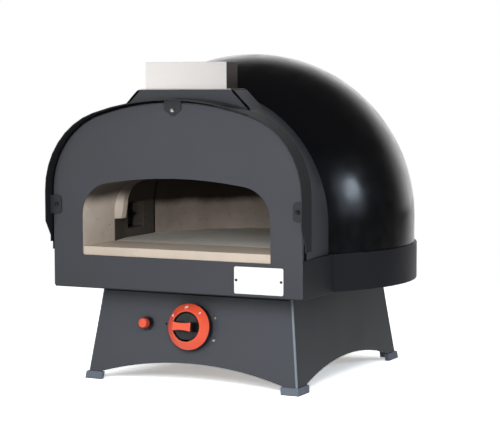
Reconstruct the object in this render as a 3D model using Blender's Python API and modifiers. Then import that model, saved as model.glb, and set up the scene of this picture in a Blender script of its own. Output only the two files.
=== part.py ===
# Portable gas pizza oven: a steel dome and vestibule over a refractory chamber, on a sheet stand.
# Metres, +Z up. The mouth faces -Y. The origin is the middle of the footprint, on the ground.
# Lengths along Y are given from the dome's own axis, which an empty carries at AXIS_Y.
import math

import bmesh
import bpy
from mathutils import Matrix, Vector

# Fits and sheet
GAP = 0.0003
SHEET = 0.0015
PLATE = 0.0020
OVERRUN = 0.0040
WELD = 0.00001

# Counts of facets
DOME_STEPS = 48
DOME_ARC_STEPS = 14
SHOULDER_STEPS = 8
CROWN_STEPS = 4
FINE_STEPS = 40
COARSE_STEPS = 20
SMALL_STEPS = 14
TINY_STEPS = 12
VAULT_STEPS = 28
BEND_STEPS = 4
CORNER_STEPS = 3
GRIP_STEPS = 8
ARCH_STEPS = 14
HEXAGON = 6
SMOOTH_ANGLE = math.radians(35)

# A domed head's outline as shares of its radius and height
HEAD_SHARES = ((0.0, 1.0), (0.5, 0.92), (0.88, 0.6), (1.0, 0.0))

# Stand: a hollow truncated pyramid of folded sheet, with an arch in each wall
STAND_HEIGHT = 0.1495
STAND_SIDE_SETBACK = 0.0480
STAND_FRONT_SETBACK = 0.0676
STAND_REAR_SETBACK = 0.1113
STAND_SIDE_SPREAD = 0.0194
STAND_FRONT_SPREAD = 0.0221
STAND_REAR_SPREAD = 0.0208
STAND_FOLD_RADIUS = 0.0040
STAND_FLANGE = 0.0220
ARCH_CROWN = 0.0350
ARCH_SPRING = 0.0130
STAND_BOLT_INSET = 0.0120
STAND_BOLT_RADIUS = 0.0030
STAND_BOLT_HEAD_RADIUS = 0.0055
STAND_BOLT_HEAD = 0.0040

# Feet: moulded L caps on the stand's corners
FOOT_HEIGHT = 0.0120
FOOT_ARM = 0.0300
FOOT_SIDE_ARM = 0.0400
FOOT_SOLE = 0.0025
FOOT_PROUD = 0.0025
FOOT_WALL = 0.0080

# Pan: the round tray with a square front that the whole oven is built up on
PAN_DEPTH = 0.0575
PAN_LEDGE = 0.0040
PAN_FLANGE = 0.0100

# Dome, whose radius also sets the plan of everything that it covers
DOME_RADIUS = 0.2613
DOME_SKIRT = 0.0417
VESTIBULE_RISE = 0.0203

# Front panel, an arch of three arcs over straight sides
PANEL_STANDOUT = 0.0093
PANEL_INSET = 0.0493
PANEL_LIFT = 0.0016
PANEL_SIDE = 0.0916
PANEL_CROWN_DROP = 0.1268
PANEL_SHOULDER_DROP = 0.0145
PANEL_CORNER = 0.0020

# Mouth, cut in the panel
MOUTH_SIDE = 0.0617
MOUTH_RISE_SHARE = 0.4387
MOUTH_SHOULDER_SHARE = 0.8475

# Visor: a narrow band round the panel's arch, held by three tabs
VISOR_CLEARANCE = 0.0045
VISOR_RETURN = 0.0060
VISOR_STANDOUT = 0.0154
VISOR_DEPTH = 0.0340
VISOR_SETBACK = 0.0140
VISOR_TAPER = 0.0230
VISOR_TAIL = 0.0120
VISOR_TAPER_START = 0.0330
SIDE_TAB_HEIGHT = 0.0290
SIDE_TAB_REACH = 0.0150
SIDE_TAB_DROP = 0.0215
SIDE_TAB_CORNER = 0.0060
TOP_TAB_HALF_WIDTH = 0.0145
TOP_TAB_REACH = 0.0195
TOP_TAB_SWEEP = 30
TAB_SCREW_INSET = 0.0080
TOP_SCREW_INSET = 0.0095
TAB_SCREW_RADIUS = 0.0020
TAB_SCREW_HEAD_RADIUS = 0.0036
TAB_SCREW_HEAD = 0.0022
TAB_SCREW_GRIP = 0.0060

# Nameplate, left bare
NAMEPLATE_WIDTH = 0.0800
NAMEPLATE_HEIGHT = 0.0400
NAMEPLATE_THICKNESS = 0.0012
NAMEPLATE_MARGIN = 0.0300
NAMEPLATE_LIFT = 0.0236
NAMEPLATE_CORNER = 0.0025
RIVET_INSET = 0.0035
RIVET_RADIUS = 0.0012
RIVET_HEAD_RADIUS = 0.0021
RIVET_HEAD = 0.0011

# Chimney
CHIMNEY_SETBACK = 0.0370
CHIMNEY_SIDE_MARGIN = 0.0103
CHIMNEY_REAR_MARGIN = 0.0100
CHIMNEY_RISE = 0.0200
CHIMNEY_DROP = 0.0480
CHIMNEY_FLARE = 0.0480
SLEEVE_SIDE_MARGIN = 0.0072
SLEEVE_END_MARGIN = 0.0040
SLEEVE_HEIGHT = 0.0400
SLEEVE_SHEET = 0.0012
SLEEVE_TUCK = 0.0024
SLEEVE_STEP = 0.0030
COLLAR_MARGIN = 0.0020
DUCT_HALF_WIDTH = 0.0620
DUCT_DEPTH = 0.0280
DUCT_SEAT = 0.0170

# Refractory chamber
BOARD_THICKNESS = 0.0481
BOARD_MARGIN = 0.0050
HEARTH_THICKNESS = 0.0137
CHAMBER_CENTRE_REACH = 0.0220
CHAMBER_CLEARANCE = 0.0125
BLOCK = 0.0220
CHEEK = 0.0155
WALL_HEIGHT = 0.0697
VAULT_DROP = 0.0259
BLANKET = 0.0240
BLANKET_REACH = 0.1000
SURROUND_LEAD = 0.0106
SURROUND_CROWN = 0.0310
SURROUND_SHOULDER = 0.0800
CHEEK_DEPTH = 0.0550
THROAT = 0.0240
THROAT_LIP = 0.0100
THROAT_FOOT = 0.0485
THROAT_LEAN = 0.0040

# Burner, in a notch of the left wall
NOTCH_OFFSET = 0.0600
NOTCH_HALF_WIDTH = 0.0250
NOTCH_SILL = 0.0280
BURNER_RADIUS = 0.0110
BURNER_SHEET = 0.0015
BURNER_BEND = 0.0140
BURNER_LIFT = 0.0490
BURNER_OFFSET = 0.0200
BURNER_TIP = 0.0120
BURNER_RISE_CLEARANCE = 0.0120
BURNER_DROP = 0.0500
BURNER_CROSSING = 0.0240
BRACKET_HALF_WIDTH = 0.0300
BRACKET_HALF_HEIGHT = 0.0180
PROBE_SPACING = 0.0175
ELECTRODE_RADIUS = 0.0030
THERMOCOUPLE_RADIUS = 0.0022
PROBE_TAIL = 0.0120
INJECTOR_RADIUS = 0.0080
INJECTOR_HEIGHT = 0.0180

# Controls, on the front wall of the stand
CONTROL_DROP = 0.0585
SPINDLE_RADIUS = 0.0040
SPINDLE_HOLE = 0.0062
KNOB_STANDOFF = 0.0045
KNOB_TRAVEL = 0.0035
KNOB_BASE_RADIUS = 0.0362
KNOB_BASE_DEPTH = 0.0088
KNOB_RING_RADIUS = 0.0355
KNOB_FACE_RADIUS = 0.0247
KNOB_CONE_DEPTH = 0.0100
KNOB_RING_WALL = 0.0020
KNOB_DISH = 0.0020
KNOB_EDGE = 0.0005
GRIP_HALF_LENGTH = 0.0160
GRIP_HALF_WIDTH = 0.0076
GRIP_WAIST = 0.0060
GRIP_DEPTH = 0.0140
GRIP_CAP = 0.0016
SPINDLE_SOCKET = 0.0150
SPINDLE_REACH = 0.0180
VALVE_WIDTH = 0.0320
VALVE_HEIGHT = 0.0300
VALVE_DEPTH = 0.0360
VALVE_NECK_RADIUS = 0.0095
PLUG_RADIUS = 0.0070
PLUG_LENGTH = 0.0240
PLUG_CLEARANCE = 0.0005
BRACKET_SHEET = 0.0020
VALVE_SCREW_OFFSET = 0.0370
VALVE_SCREW_SPACING = 0.0340
VALVE_BRACKET_MARGIN = 0.0080
VALVE_SCREW_RADIUS = 0.0018
VALVE_SCREW_HEAD_RADIUS = 0.0030
VALVE_SCREW_HEAD = 0.0022
IGNITER_X = 0.0800
IGNITER_LIFT = 0.0010
IGNITER_FLANGE_RADIUS = 0.0112
IGNITER_FLANGE = 0.0027
IGNITER_NECK_RADIUS = 0.0092
IGNITER_NECK = 0.0050
IGNITER_THREAD = 0.0130
IGNITER_NUT_RADIUS = 0.0130
IGNITER_NUT = 0.0050
IGNITER_HOUSING_RADIUS = 0.0085
IGNITER_HOUSING = 0.0320
BUTTON_RADIUS = 0.0075
BUTTON_PROUD = 0.0100
BUTTON_TRAVEL = 0.0050
BUTTON_CLEARANCE = 0.0003
BUTTON_DOME = 0.0022

# Gas supply, from the rear wall of the stand
INLET_X = 0.0900
INLET_HEIGHT = 0.0600
INLET_FLANGE_RADIUS = 0.0110
INLET_FLANGE = 0.0060
INLET_TAIL_RADIUS = 0.0050
INLET_TAIL = 0.0220
INLET_BARB = 0.0010
INLET_BARBS = 3
INLET_THREAD_RADIUS = 0.0065
INLET_THREAD = 0.0120
INLET_NUT_RADIUS = 0.0110
INLET_NUT = 0.0050
PIPE_RADIUS = 0.0040
PIPE_BEND = 0.0160
PIPE_BOW = 0.0300

# Levels, from the ground up
CONTROL_HEIGHT = STAND_HEIGHT - CONTROL_DROP
PAN_BOTTOM_Z = STAND_HEIGHT + GAP
PAN_FLOOR_Z = PAN_BOTTOM_Z + PLATE
PAN_TOP_Z = PAN_BOTTOM_Z + PAN_DEPTH
BOARD_Z = PAN_FLOOR_Z + GAP
HEARTH_Z = BOARD_Z + BOARD_THICKNESS + GAP
HEARTH_TOP_Z = HEARTH_Z + HEARTH_THICKNESS
WALL_TOP_Z = HEARTH_Z + WALL_HEIGHT
DOME_BOTTOM_Z = PAN_TOP_Z + GAP
DOME_CENTRE_Z = DOME_BOTTOM_Z + DOME_SKIRT
PANEL_BOTTOM_Z = PAN_BOTTOM_Z + PANEL_LIFT
PANEL_SPRING_Z = PAN_TOP_Z + PANEL_SIDE
PANEL_ARCH_RISE = DOME_RADIUS - PANEL_CROWN_DROP
PANEL_SHOULDER = PANEL_ARCH_RISE - PANEL_SHOULDER_DROP
PANEL_CROWN_Z = PANEL_SPRING_Z + PANEL_ARCH_RISE
MOUTH_SPRING_Z = HEARTH_Z + MOUTH_SIDE
MOUTH_ARCH_RISE = PANEL_ARCH_RISE * MOUTH_RISE_SHARE
MOUTH_SHOULDER = MOUTH_ARCH_RISE * MOUTH_SHOULDER_SHARE
MOUTH_CROWN_Z = MOUTH_SPRING_Z + MOUTH_ARCH_RISE
VAULT_RISE = PANEL_CROWN_Z - VAULT_DROP - BLOCK - GAP - WALL_TOP_Z
CHIMNEY_TOP_Z = PANEL_CROWN_Z + CHIMNEY_RISE

# Widths, from the middle outwards
PANEL_HALF_WIDTH = DOME_RADIUS - PANEL_INSET
WALL_OUTER = PANEL_HALF_WIDTH - SHEET - CHAMBER_CLEARANCE
CHAMBER_HALF_WIDTH = WALL_OUTER - BLOCK
MOUTH_HALF_WIDTH = CHAMBER_HALF_WIDTH - CHEEK
NAMEPLATE_X = PANEL_HALF_WIDTH - NAMEPLATE_MARGIN - NAMEPLATE_WIDTH / 2
SLEEVE_HALF_WIDTH = DUCT_HALF_WIDTH + SLEEVE_SIDE_MARGIN
CHIMNEY_TOP_HALF_WIDTH = SLEEVE_HALF_WIDTH + CHIMNEY_SIDE_MARGIN
STAND_TOP_HALF_WIDTH = PANEL_HALF_WIDTH - STAND_SIDE_SETBACK
STAND_FOOT_HALF_WIDTH = STAND_TOP_HALF_WIDTH + STAND_SIDE_SPREAD
BURNER_RISE_X = STAND_TOP_HALF_WIDTH - STAND_FLANGE - BURNER_RISE_CLEARANCE

# Depths, from the dome's axis towards the front, or for the stand's rear towards the back
PAN_RADIUS = DOME_RADIUS + PAN_LEDGE
PANEL_REACH = DOME_RADIUS + PANEL_STANDOUT
PANEL_REAR = PANEL_REACH - PLATE
SLICE_RADIUS = PANEL_CROWN_Z + VESTIBULE_RISE - DOME_CENTRE_Z
DOME_CUT_REACH = math.sqrt(DOME_RADIUS**2 - SLICE_RADIUS**2)
SLEEVE_DEPTH = DUCT_DEPTH + 2 * SLEEVE_END_MARGIN
CHIMNEY_FRONT = PANEL_REACH - CHIMNEY_SETBACK
CHIMNEY_TOP_DEPTH = SLEEVE_STEP + SLEEVE_DEPTH + CHIMNEY_REAR_MARGIN
STAND_TOP_FRONT = PANEL_REACH - STAND_FRONT_SETBACK
STAND_FOOT_FRONT = STAND_TOP_FRONT + STAND_FRONT_SPREAD
STAND_TOP_REAR = DOME_RADIUS - STAND_REAR_SETBACK
STAND_FOOT_REAR = STAND_TOP_REAR + STAND_REAR_SPREAD
NOTCH_REACH = CHAMBER_CENTRE_REACH + NOTCH_OFFSET
SHELL_FRONT = PANEL_REAR - GAP
VISOR_FRONT = PANEL_REACH + VISOR_STANDOUT
SURROUND_REAR = DOME_CUT_REACH + SURROUND_LEAD
AXIS_Y = (VISOR_FRONT - PAN_RADIUS) / 2

UPRIGHT = {
    "X": Matrix(((0, 0, 1, 0), (1, 0, 0, 0), (0, 1, 0, 0), (0, 0, 0, 1))),
    "Y": Matrix(((1, 0, 0, 0), (0, 0, -1, 0), (0, 1, 0, 0), (0, 0, 0, 1))),
    "Z": Matrix.Identity(4),
}
WAY = {"X": Vector((1, 0, 0)), "Y": Vector((0, 1, 0)), "Z": Vector((0, 0, 1))}


def clear_scene():
    for old in list(bpy.data.objects):
        bpy.data.objects.remove(old, do_unlink=True)


def new_collection(name):
    collection = bpy.data.collections.new(name)
    bpy.context.scene.collection.children.link(collection)
    return collection


def new_material(name, colour, roughness, metallic):
    material = bpy.data.materials.new(name)
    material.use_nodes = True
    shader = material.node_tree.nodes["Principled BSDF"]
    shader.inputs["Base Color"].default_value = (*colour, 1.0)
    shader.inputs["Roughness"].default_value = roughness
    shader.inputs["Metallic"].default_value = metallic
    return material


clear_scene()
PARTS = new_collection("portable_pizza_oven")
CUTTERS = new_collection("cutters")
BLACK_COAT = new_material("black_powder_coat", (0.045, 0.047, 0.052), 0.45, 0.2)
DOME_COAT = new_material("gloss_black_coat", (0.012, 0.012, 0.014), 0.22, 0.2)
STAINLESS = new_material("brushed_stainless", (0.72, 0.70, 0.67), 0.32, 1.0)
ZINC = new_material("zinc_steel", (0.45, 0.45, 0.45), 0.4, 1.0)
BRASS = new_material("brass", (0.60, 0.45, 0.20), 0.35, 1.0)
CAST_STONE = new_material("cast_refractory", (0.42, 0.37, 0.31), 0.9, 0.0)
FIRED_TILE = new_material("fired_tile", (0.66, 0.60, 0.52), 0.85, 0.0)
FIBRE = new_material("ceramic_fibre", (0.80, 0.79, 0.76), 0.95, 0.0)
RUBBER = new_material("black_rubber", (0.02, 0.02, 0.02), 0.8, 0.0)
BLACK_PLASTIC = new_material("black_plastic", (0.015, 0.015, 0.017), 0.35, 0.0)
RED_PLASTIC = new_material("red_plastic", (0.80, 0.08, 0.05), 0.4, 0.0)
WHITE_PLATE = new_material("white_plate", (0.82, 0.82, 0.80), 0.4, 0.0)
CERAMIC = new_material("white_ceramic", (0.85, 0.84, 0.80), 0.3, 0.0)


def weld(mesh):
    work = bmesh.new()
    work.from_mesh(mesh)
    bmesh.ops.remove_doubles(work, verts=work.verts, dist=WELD)
    bmesh.ops.recalc_face_normals(work, faces=work.faces)
    work.to_mesh(mesh)
    work.free()


def place(name, data, material, parent, location=(0, 0, 0), rotation=(0, 0, 0)):
    """Adds a finished piece, standing on the frame that carries it."""
    piece = bpy.data.objects.new(name, data)
    if isinstance(data, bpy.types.Mesh):
        data.shade_smooth()
        data.set_sharp_from_angle(angle=SMOOTH_ANGLE)
    data.materials.append(material)
    PARTS.objects.link(piece)
    piece.parent = parent
    piece.location = location
    piece.rotation_euler = rotation
    return piece


def guide(name, data, parent, location=(0, 0, 0), rotation=(0, 0, 0)):
    """Adds a shape that only cuts or joins others."""
    shape = bpy.data.objects.new(name, data)
    shape.hide_render = True
    shape.display_type = "WIRE"
    CUTTERS.objects.link(shape)
    shape.parent = parent
    shape.location = location
    shape.rotation_euler = rotation
    return shape


def frame_at(name, parent, location=(0, 0, 0), rotation=(0, 0, 0)):
    frame = bpy.data.objects.new(name, None)
    PARTS.objects.link(frame)
    frame.parent = parent
    frame.location = location
    frame.rotation_euler = rotation
    return frame


def boolean(piece, other, operation="DIFFERENCE"):
    step = piece.modifiers.new(f"{operation.lower()}_{other.name}", "BOOLEAN")
    step.operation = operation
    step.solver = "EXACT"
    step.object = other


def solidify(piece, thickness, offset):
    shell = piece.modifiers.new("sheet", "SOLIDIFY")
    shell.thickness = thickness
    shell.offset = offset
    shell.use_even_offset = True


def curve_mesh(name, curve):
    """The welded mesh of a curve, which is then dropped."""
    holder = bpy.data.objects.new(name, curve)
    CUTTERS.objects.link(holder)
    solid = holder.evaluated_get(bpy.context.evaluated_depsgraph_get())
    mesh = bpy.data.meshes.new_from_object(solid)
    bpy.data.objects.remove(holder, do_unlink=True)
    bpy.data.curves.remove(curve)
    mesh.name = name
    weld(mesh)
    return mesh


def slab(name, outlines, low, high, way):
    """Flat outlines, holes among them, made solid from low to high along one axis."""
    curve = bpy.data.curves.new(name, "CURVE")
    curve.dimensions = "2D"
    curve.fill_mode = "BOTH"
    curve.extrude = (high - low) / 2
    for outline in outlines:
        spline = curve.splines.new("POLY")
        spline.points.add(len(outline) - 1)
        for point, (across, up) in zip(spline.points, outline):
            point.co = (across, up, 0, 1)
        spline.use_cyclic_u = True
    mesh = curve_mesh(name, curve)
    mesh.transform(Matrix.Translation(WAY[way] * ((low + high) / 2)) @ UPRIGHT[way])
    return mesh


def turned(name, profile, steps, ring=False):
    """A profile of (radius, height) pairs, outer side running down, turned about Z."""
    count = len(profile)
    edges = [(i, i + 1) for i in range(count - 1)]
    if ring:
        edges.append((count - 1, 0))
    mesh = bpy.data.meshes.new(name)
    mesh.from_pydata([(radius, 0, height) for radius, height in profile], edges, [])
    holder = bpy.data.objects.new(name, mesh)
    CUTTERS.objects.link(holder)
    screw = holder.modifiers.new("turn", "SCREW")
    screw.steps = steps
    screw.render_steps = steps
    screw.use_merge_vertices = True
    screw.merge_threshold = WELD
    solid = holder.evaluated_get(bpy.context.evaluated_depsgraph_get())
    result = bpy.data.meshes.new_from_object(solid)
    bpy.data.objects.remove(holder, do_unlink=True)
    bpy.data.meshes.remove(mesh)
    result.name = name
    return result


def headed(face, head_radius, head, shank_radius, tip):
    """The profile of a domed head standing on a face, over a shank that ends at tip."""
    profile = [(head_radius * across, face + head * up) for across, up in HEAD_SHARES]
    return profile + [(shank_radius, face), (shank_radius, tip), (0, tip)]


def rod(name, radius, low, high, steps=COARSE_STEPS):
    """A solid cylinder along Z."""
    return turned(name, [(0, high), (radius, high), (radius, low), (0, low)], steps)


def box(name, low, high):
    mesh = bpy.data.meshes.new(name)
    work = bmesh.new()
    bmesh.ops.create_cube(work, size=1)
    size = Vector(high) - Vector(low)
    middle = (Vector(high) + Vector(low)) / 2
    stretch = Matrix.Translation(middle) @ Matrix.Diagonal((*size, 1))
    bmesh.ops.transform(work, verts=work.verts, matrix=stretch)
    work.to_mesh(mesh)
    work.free()
    return mesh


def nut(name, radius, bore, low, high):
    """A hexagon nut along Z."""
    outside = arc((0, 0), radius, 0, 360 - 360 / HEXAGON, HEXAGON - 1)
    hole = arc((0, 0), bore, 0, 360 - 360 / COARSE_STEPS, COARSE_STEPS - 1)
    return slab(name, [outside, hole], low, high, "Z")


def bent(corners, radius):
    """A run of straight lengths joined by round bends, as a pipe is bent on a former."""
    corners = [Vector(corner) for corner in corners]
    run = [corners[0]]
    for before, corner, after in zip(corners, corners[1:], corners[2:]):
        inward = (before - corner).normalized()
        outward = (after - corner).normalized()
        half = inward.angle(outward) / 2
        centre = corner + (inward + outward).normalized() * (radius / math.sin(half))
        start = corner + inward * (radius / math.tan(half)) - centre
        end = corner + outward * (radius / math.tan(half)) - centre
        for i in range(BEND_STEPS + 1):
            run.append(centre + start.normalized().slerp(end.normalized(), i / BEND_STEPS) * radius)
    run.append(corners[-1])
    return run


def pipe_mesh(name, points, radius):
    return curve_mesh(name, pipe_curve(name, points, radius))


def pipe_curve(name, points, radius, resolution=2):
    curve = bpy.data.curves.new(name, "CURVE")
    curve.dimensions = "3D"
    curve.bevel_depth = radius
    curve.bevel_resolution = resolution
    curve.use_fill_caps = True
    spline = curve.splines.new("POLY")
    spline.points.add(len(points) - 1)
    for knot, point in zip(spline.points, points):
        knot.co = (*point, 1)
    return curve


def arch(half_width, spring_z, crown_z, shoulder, grow=0.0):
    """Points (x, z, outward angle) of a three-centred arch, from its right spring to its left."""
    rise = crown_z - spring_z
    inset = half_width - shoulder
    crown = (rise**2 + inset**2 - shoulder**2) / (2 * (rise - shoulder))
    crown_centre = crown_z - crown
    turn = math.atan2(spring_z - crown_centre, inset)
    points = []
    for i in range(SHOULDER_STEPS + 1):
        angle = turn * i / SHOULDER_STEPS
        reach = shoulder + grow
        points.append((inset + reach * math.cos(angle), spring_z + reach * math.sin(angle), angle))
    for i in range(1, CROWN_STEPS + 1):
        angle = turn + (math.pi / 2 - turn) * i / CROWN_STEPS
        reach = crown + grow
        points.append((reach * math.cos(angle), crown_centre + reach * math.sin(angle), angle))
    mirrored = [(-x, z, math.pi - angle) for x, z, angle in reversed(points[:-1])]
    return points + mirrored


def doorway(bottom_z, arch_run):
    """An arch with straight sides down to bottom_z."""
    right = arch_run[0][0]
    return [(right, bottom_z)] + [(x, z) for x, z, _ in arch_run] + [(-right, bottom_z)]


def panel_arch(grow=0.0):
    return arch(PANEL_HALF_WIDTH, PANEL_SPRING_Z, PANEL_CROWN_Z, PANEL_SHOULDER, grow)


def mouth_arch(grow=0.0):
    return arch(MOUTH_HALF_WIDTH, MOUTH_SPRING_Z, MOUTH_CROWN_Z, MOUTH_SHOULDER, grow)


def throat_arch():
    half_width = MOUTH_HALF_WIDTH - THROAT_LIP
    crown_z = MOUTH_CROWN_Z - THROAT_LIP / 2
    return arch(half_width, MOUTH_SPRING_Z + THROAT_LIP, crown_z, MOUTH_SHOULDER - THROAT_LIP)


def arc(centre, radius, start, end, steps):
    """Points of a plane arc, from one angle to another in degrees."""
    run = []
    for i in range(steps + 1):
        angle = math.radians(start + (end - start) * i / steps)
        run.append((centre[0] + radius * math.cos(angle), centre[1] + radius * math.sin(angle)))
    return run


def rounded_rectangle(left, right, low, high, radius):
    return (
        arc((right - radius, low + radius), radius, -90, 0, CORNER_STEPS)
        + arc((right - radius, high - radius), radius, 0, 90, CORNER_STEPS)
        + arc((left + radius, high - radius), radius, 90, 180, CORNER_STEPS)
        + arc((left + radius, low + radius), radius, 180, 270, CORNER_STEPS)
    )


def rectangle(left, right, low, high):
    return [(left, low), (right, low), (right, high), (left, high)]


def pan_outline(inset=0.0):
    """The pan seen from above: a circle whose front is squared off to the panel's width."""
    radius = PAN_RADIUS - inset
    half_width = PANEL_HALF_WIDTH - inset
    front = -(SHELL_FRONT - inset)
    corner = math.degrees(math.acos(half_width / radius))
    round_part = arc((0, 0), radius, -corner, 180 + corner, DOME_STEPS)
    return [(half_width, front)] + round_part + [(-half_width, front)]


def chamber_outline(half_width, front, bevel_depth=0.0, bevel=0.0):
    """The chamber's plan: straight sides, a half round at the back and, if asked, closing cheeks."""
    centre = (0, -CHAMBER_CENTRE_REACH)
    back = arc(centre, half_width, 0, 180, FINE_STEPS // 2)
    nose = half_width - bevel
    right = [(nose, -front), (half_width, -front + bevel_depth)] if bevel_depth else [(half_width, -front)]
    left = [(-x, y) for x, y in reversed(right)]
    return right + back + left


def stand_corner(z, side, end, grow=0.0):
    """A corner of the stand's outside at height z."""
    share = z / STAND_HEIGHT
    half_width = STAND_FOOT_HALF_WIDTH + (STAND_TOP_HALF_WIDTH - STAND_FOOT_HALF_WIDTH) * share
    front = STAND_FOOT_FRONT + (STAND_TOP_FRONT - STAND_FOOT_FRONT) * share
    rear = STAND_FOOT_REAR + (STAND_TOP_REAR - STAND_FOOT_REAR) * share
    depth = rear + grow if end > 0 else -(front + grow)
    return Vector((side * (half_width + grow), depth, z))


def stand_solid(name, low, high, grow):
    """The stand's outside, or one parallel to it, as a solid with folded corners."""
    mesh = bpy.data.meshes.new(name)
    work = bmesh.new()
    bmesh.ops.create_cube(work, size=1)
    for vert in work.verts:
        level = high if vert.co.z > 0 else low
        vert.co = stand_corner(level, math.copysign(1, vert.co.x), vert.co.y, grow)
    upright = [edge for edge in work.edges if abs(edge.verts[0].co.z - edge.verts[1].co.z) > (high - low) / 2]
    radius = STAND_FOLD_RADIUS + grow
    bmesh.ops.bevel(work, geom=upright, offset=radius, segments=CORNER_STEPS, profile=0.5, affect="EDGES")
    work.to_mesh(mesh)
    work.free()
    return mesh


def loft(name, near, far, capped):
    """A surface between two runs of points; capped, it is a closed solid."""
    mesh = bpy.data.meshes.new(name)
    work = bmesh.new()
    first = [work.verts.new(point) for point in near]
    second = [work.verts.new(point) for point in far]
    count = len(near)
    last = count if capped else count - 1
    for i in range(last):
        after = (i + 1) % count
        work.faces.new((first[i], first[after], second[after], second[i]))
    if capped:
        work.faces.new(first)
        work.faces.new(second)
        bmesh.ops.recalc_face_normals(work, faces=work.faces)
    work.to_mesh(mesh)
    work.free()
    return mesh


def barrel_surface(work, half_width, rise, front, low):
    """The open skin of a half-ellipsoid with a barrel of the same section running forward."""
    quarters = ((0, 1, 0), (0, 0, 1))
    ball = bmesh.ops.create_uvsphere(work, u_segments=VAULT_STEPS, v_segments=VAULT_STEPS // 2, radius=1)
    verts = ball["verts"]
    bmesh.ops.rotate(work, verts=verts, matrix=Matrix.Rotation(math.pi / 2, 3, "X"))
    for normal in quarters:
        below = [vert for vert in verts if vert.is_valid and vert.co.dot(Vector(normal)) < -WELD]
        bmesh.ops.delete(work, geom=below, context="VERTS")
    verts = [vert for vert in verts if vert.is_valid]
    rim = [edge for vert in verts for edge in vert.link_edges if edge.is_boundary]
    rim = [edge for edge in set(rim) if all(abs(vert.co.y) < WELD for vert in edge.verts)]
    moved = []
    if front > CHAMBER_CENTRE_REACH:
        pulled = bmesh.ops.extrude_edge_only(work, edges=sorted(rim, key=lambda edge: edge.index))["geom"]
        moved = [item for item in pulled if isinstance(item, bmesh.types.BMVert)]
        bmesh.ops.translate(work, verts=moved, vec=(0, -(front - CHAMBER_CENTRE_REACH) / half_width, 0))
    for vert in verts + moved:
        x, y, z = vert.co
        vert.co = (x * half_width, y * half_width - CHAMBER_CENTRE_REACH, z * rise + low)


def barrel_dome(name, outer, inner, front, low):
    """A thick barrel-and-dome shell, open in front and underneath; each skin is (half width, rise)."""
    mesh = bpy.data.meshes.new(name)
    work = bmesh.new()
    for half_width, rise in (outer, inner):
        barrel_surface(work, half_width, rise, front, low)
        work.verts.index_update()
        work.edges.index_update()
    rims = [edge for edge in work.edges if edge.is_boundary]
    bmesh.ops.bridge_loops(work, edges=rims)
    bmesh.ops.recalc_face_normals(work, faces=work.faces)
    work.to_mesh(mesh)
    work.free()
    return mesh


OVEN = frame_at("oven_frame", None, (0, AXIS_Y, 0))
ROUND = (math.pi / 2, 0, 0)


# Stand

def stand_clear_holes(stand):
    run = STAND_FOOT_FRONT + STAND_FOOT_REAR
    arches = (
        ("arch_front_rear", STAND_FOOT_HALF_WIDTH + FOOT_PROUD - FOOT_ARM, 0.0, "Y", run),
        (
            "arch_sides",
            run / 2 + FOOT_PROUD - FOOT_SIDE_ARM,
            (STAND_FOOT_REAR - STAND_FOOT_FRONT) / 2,
            "X",
            STAND_FOOT_HALF_WIDTH,
        ),
    )
    for name, half_span, middle, way, reach in arches:
        sag = ARCH_CROWN - ARCH_SPRING
        radius = (half_span**2 + sag**2) / (2 * sag)
        swing = math.degrees(math.asin(half_span / radius))
        crown = arc((middle, ARCH_CROWN - radius), radius, 90 - swing, 90 + swing, ARCH_STEPS)
        outline = [(middle + half_span, -OVERRUN)] + crown + [(middle - half_span, -OVERRUN)]
        cutter = slab(name, [outline], -reach - OVERRUN, reach + OVERRUN, way)
        boolean(stand, guide(name, cutter, OVEN))


def make_stand():
    """One folded sheet: four leaning walls and a rim turned in at the top, open above and below."""
    foot_z = FOOT_SOLE + GAP
    rim_z = STAND_HEIGHT - SHEET
    stand = place("stand", stand_solid("stand", foot_z, STAND_HEIGHT, 0.0), BLACK_COAT, OVEN)
    inside = stand_solid("stand_inside", -OVERRUN, rim_z, -SHEET)
    boolean(stand, guide("stand_inside", inside, OVEN))
    low = stand_corner(rim_z - OVERRUN, -1, -1, -STAND_FLANGE)
    high = stand_corner(STAND_HEIGHT + OVERRUN, 1, 1, -STAND_FLANGE)
    boolean(stand, guide("stand_top", box("stand_top", low, high), OVEN))
    stand_clear_holes(stand)
    return stand


def make_feet():
    """Four caps, each slotted for the stand's corner and leaning with its walls."""
    slot = guide("foot_slot", stand_solid("foot_slot", FOOT_SOLE, FOOT_HEIGHT + OVERRUN, GAP), OVEN)
    core = stand_solid("foot_core", -OVERRUN, FOOT_HEIGHT + 2 * OVERRUN, -SHEET - GAP)
    boolean(slot, guide("foot_core", core, OVEN))
    lean_x = (STAND_TOP_HALF_WIDTH - STAND_FOOT_HALF_WIDTH) / STAND_HEIGHT
    leans_y = {
        -1: (STAND_FOOT_FRONT - STAND_TOP_FRONT) / STAND_HEIGHT,
        1: (STAND_TOP_REAR - STAND_FOOT_REAR) / STAND_HEIGHT,
    }
    ell = (
        (0, 0),
        (FOOT_ARM, 0),
        (FOOT_ARM, FOOT_WALL),
        (FOOT_WALL, FOOT_WALL),
        (FOOT_WALL, FOOT_SIDE_ARM),
        (0, FOOT_SIDE_ARM),
    )
    for end, end_name in ((-1, "front"), (1, "rear")):
        for side, side_name in ((-1, "left"), (1, "right")):
            corner = stand_corner(0, side, end, FOOT_PROUD)
            outline = [(corner.x - side * across, corner.y - end * along) for across, along in ell]
            name = f"foot_{end_name}_{side_name}"
            mesh = slab(name, [outline], 0, FOOT_HEIGHT, "Z")
            lean = Matrix.Identity(4)
            lean[0][2] = side * lean_x
            lean[1][2] = leans_y[end]
            mesh.transform(lean)
            foot = place(name, mesh, RUBBER, OVEN)
            boolean(foot, slot)


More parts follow.
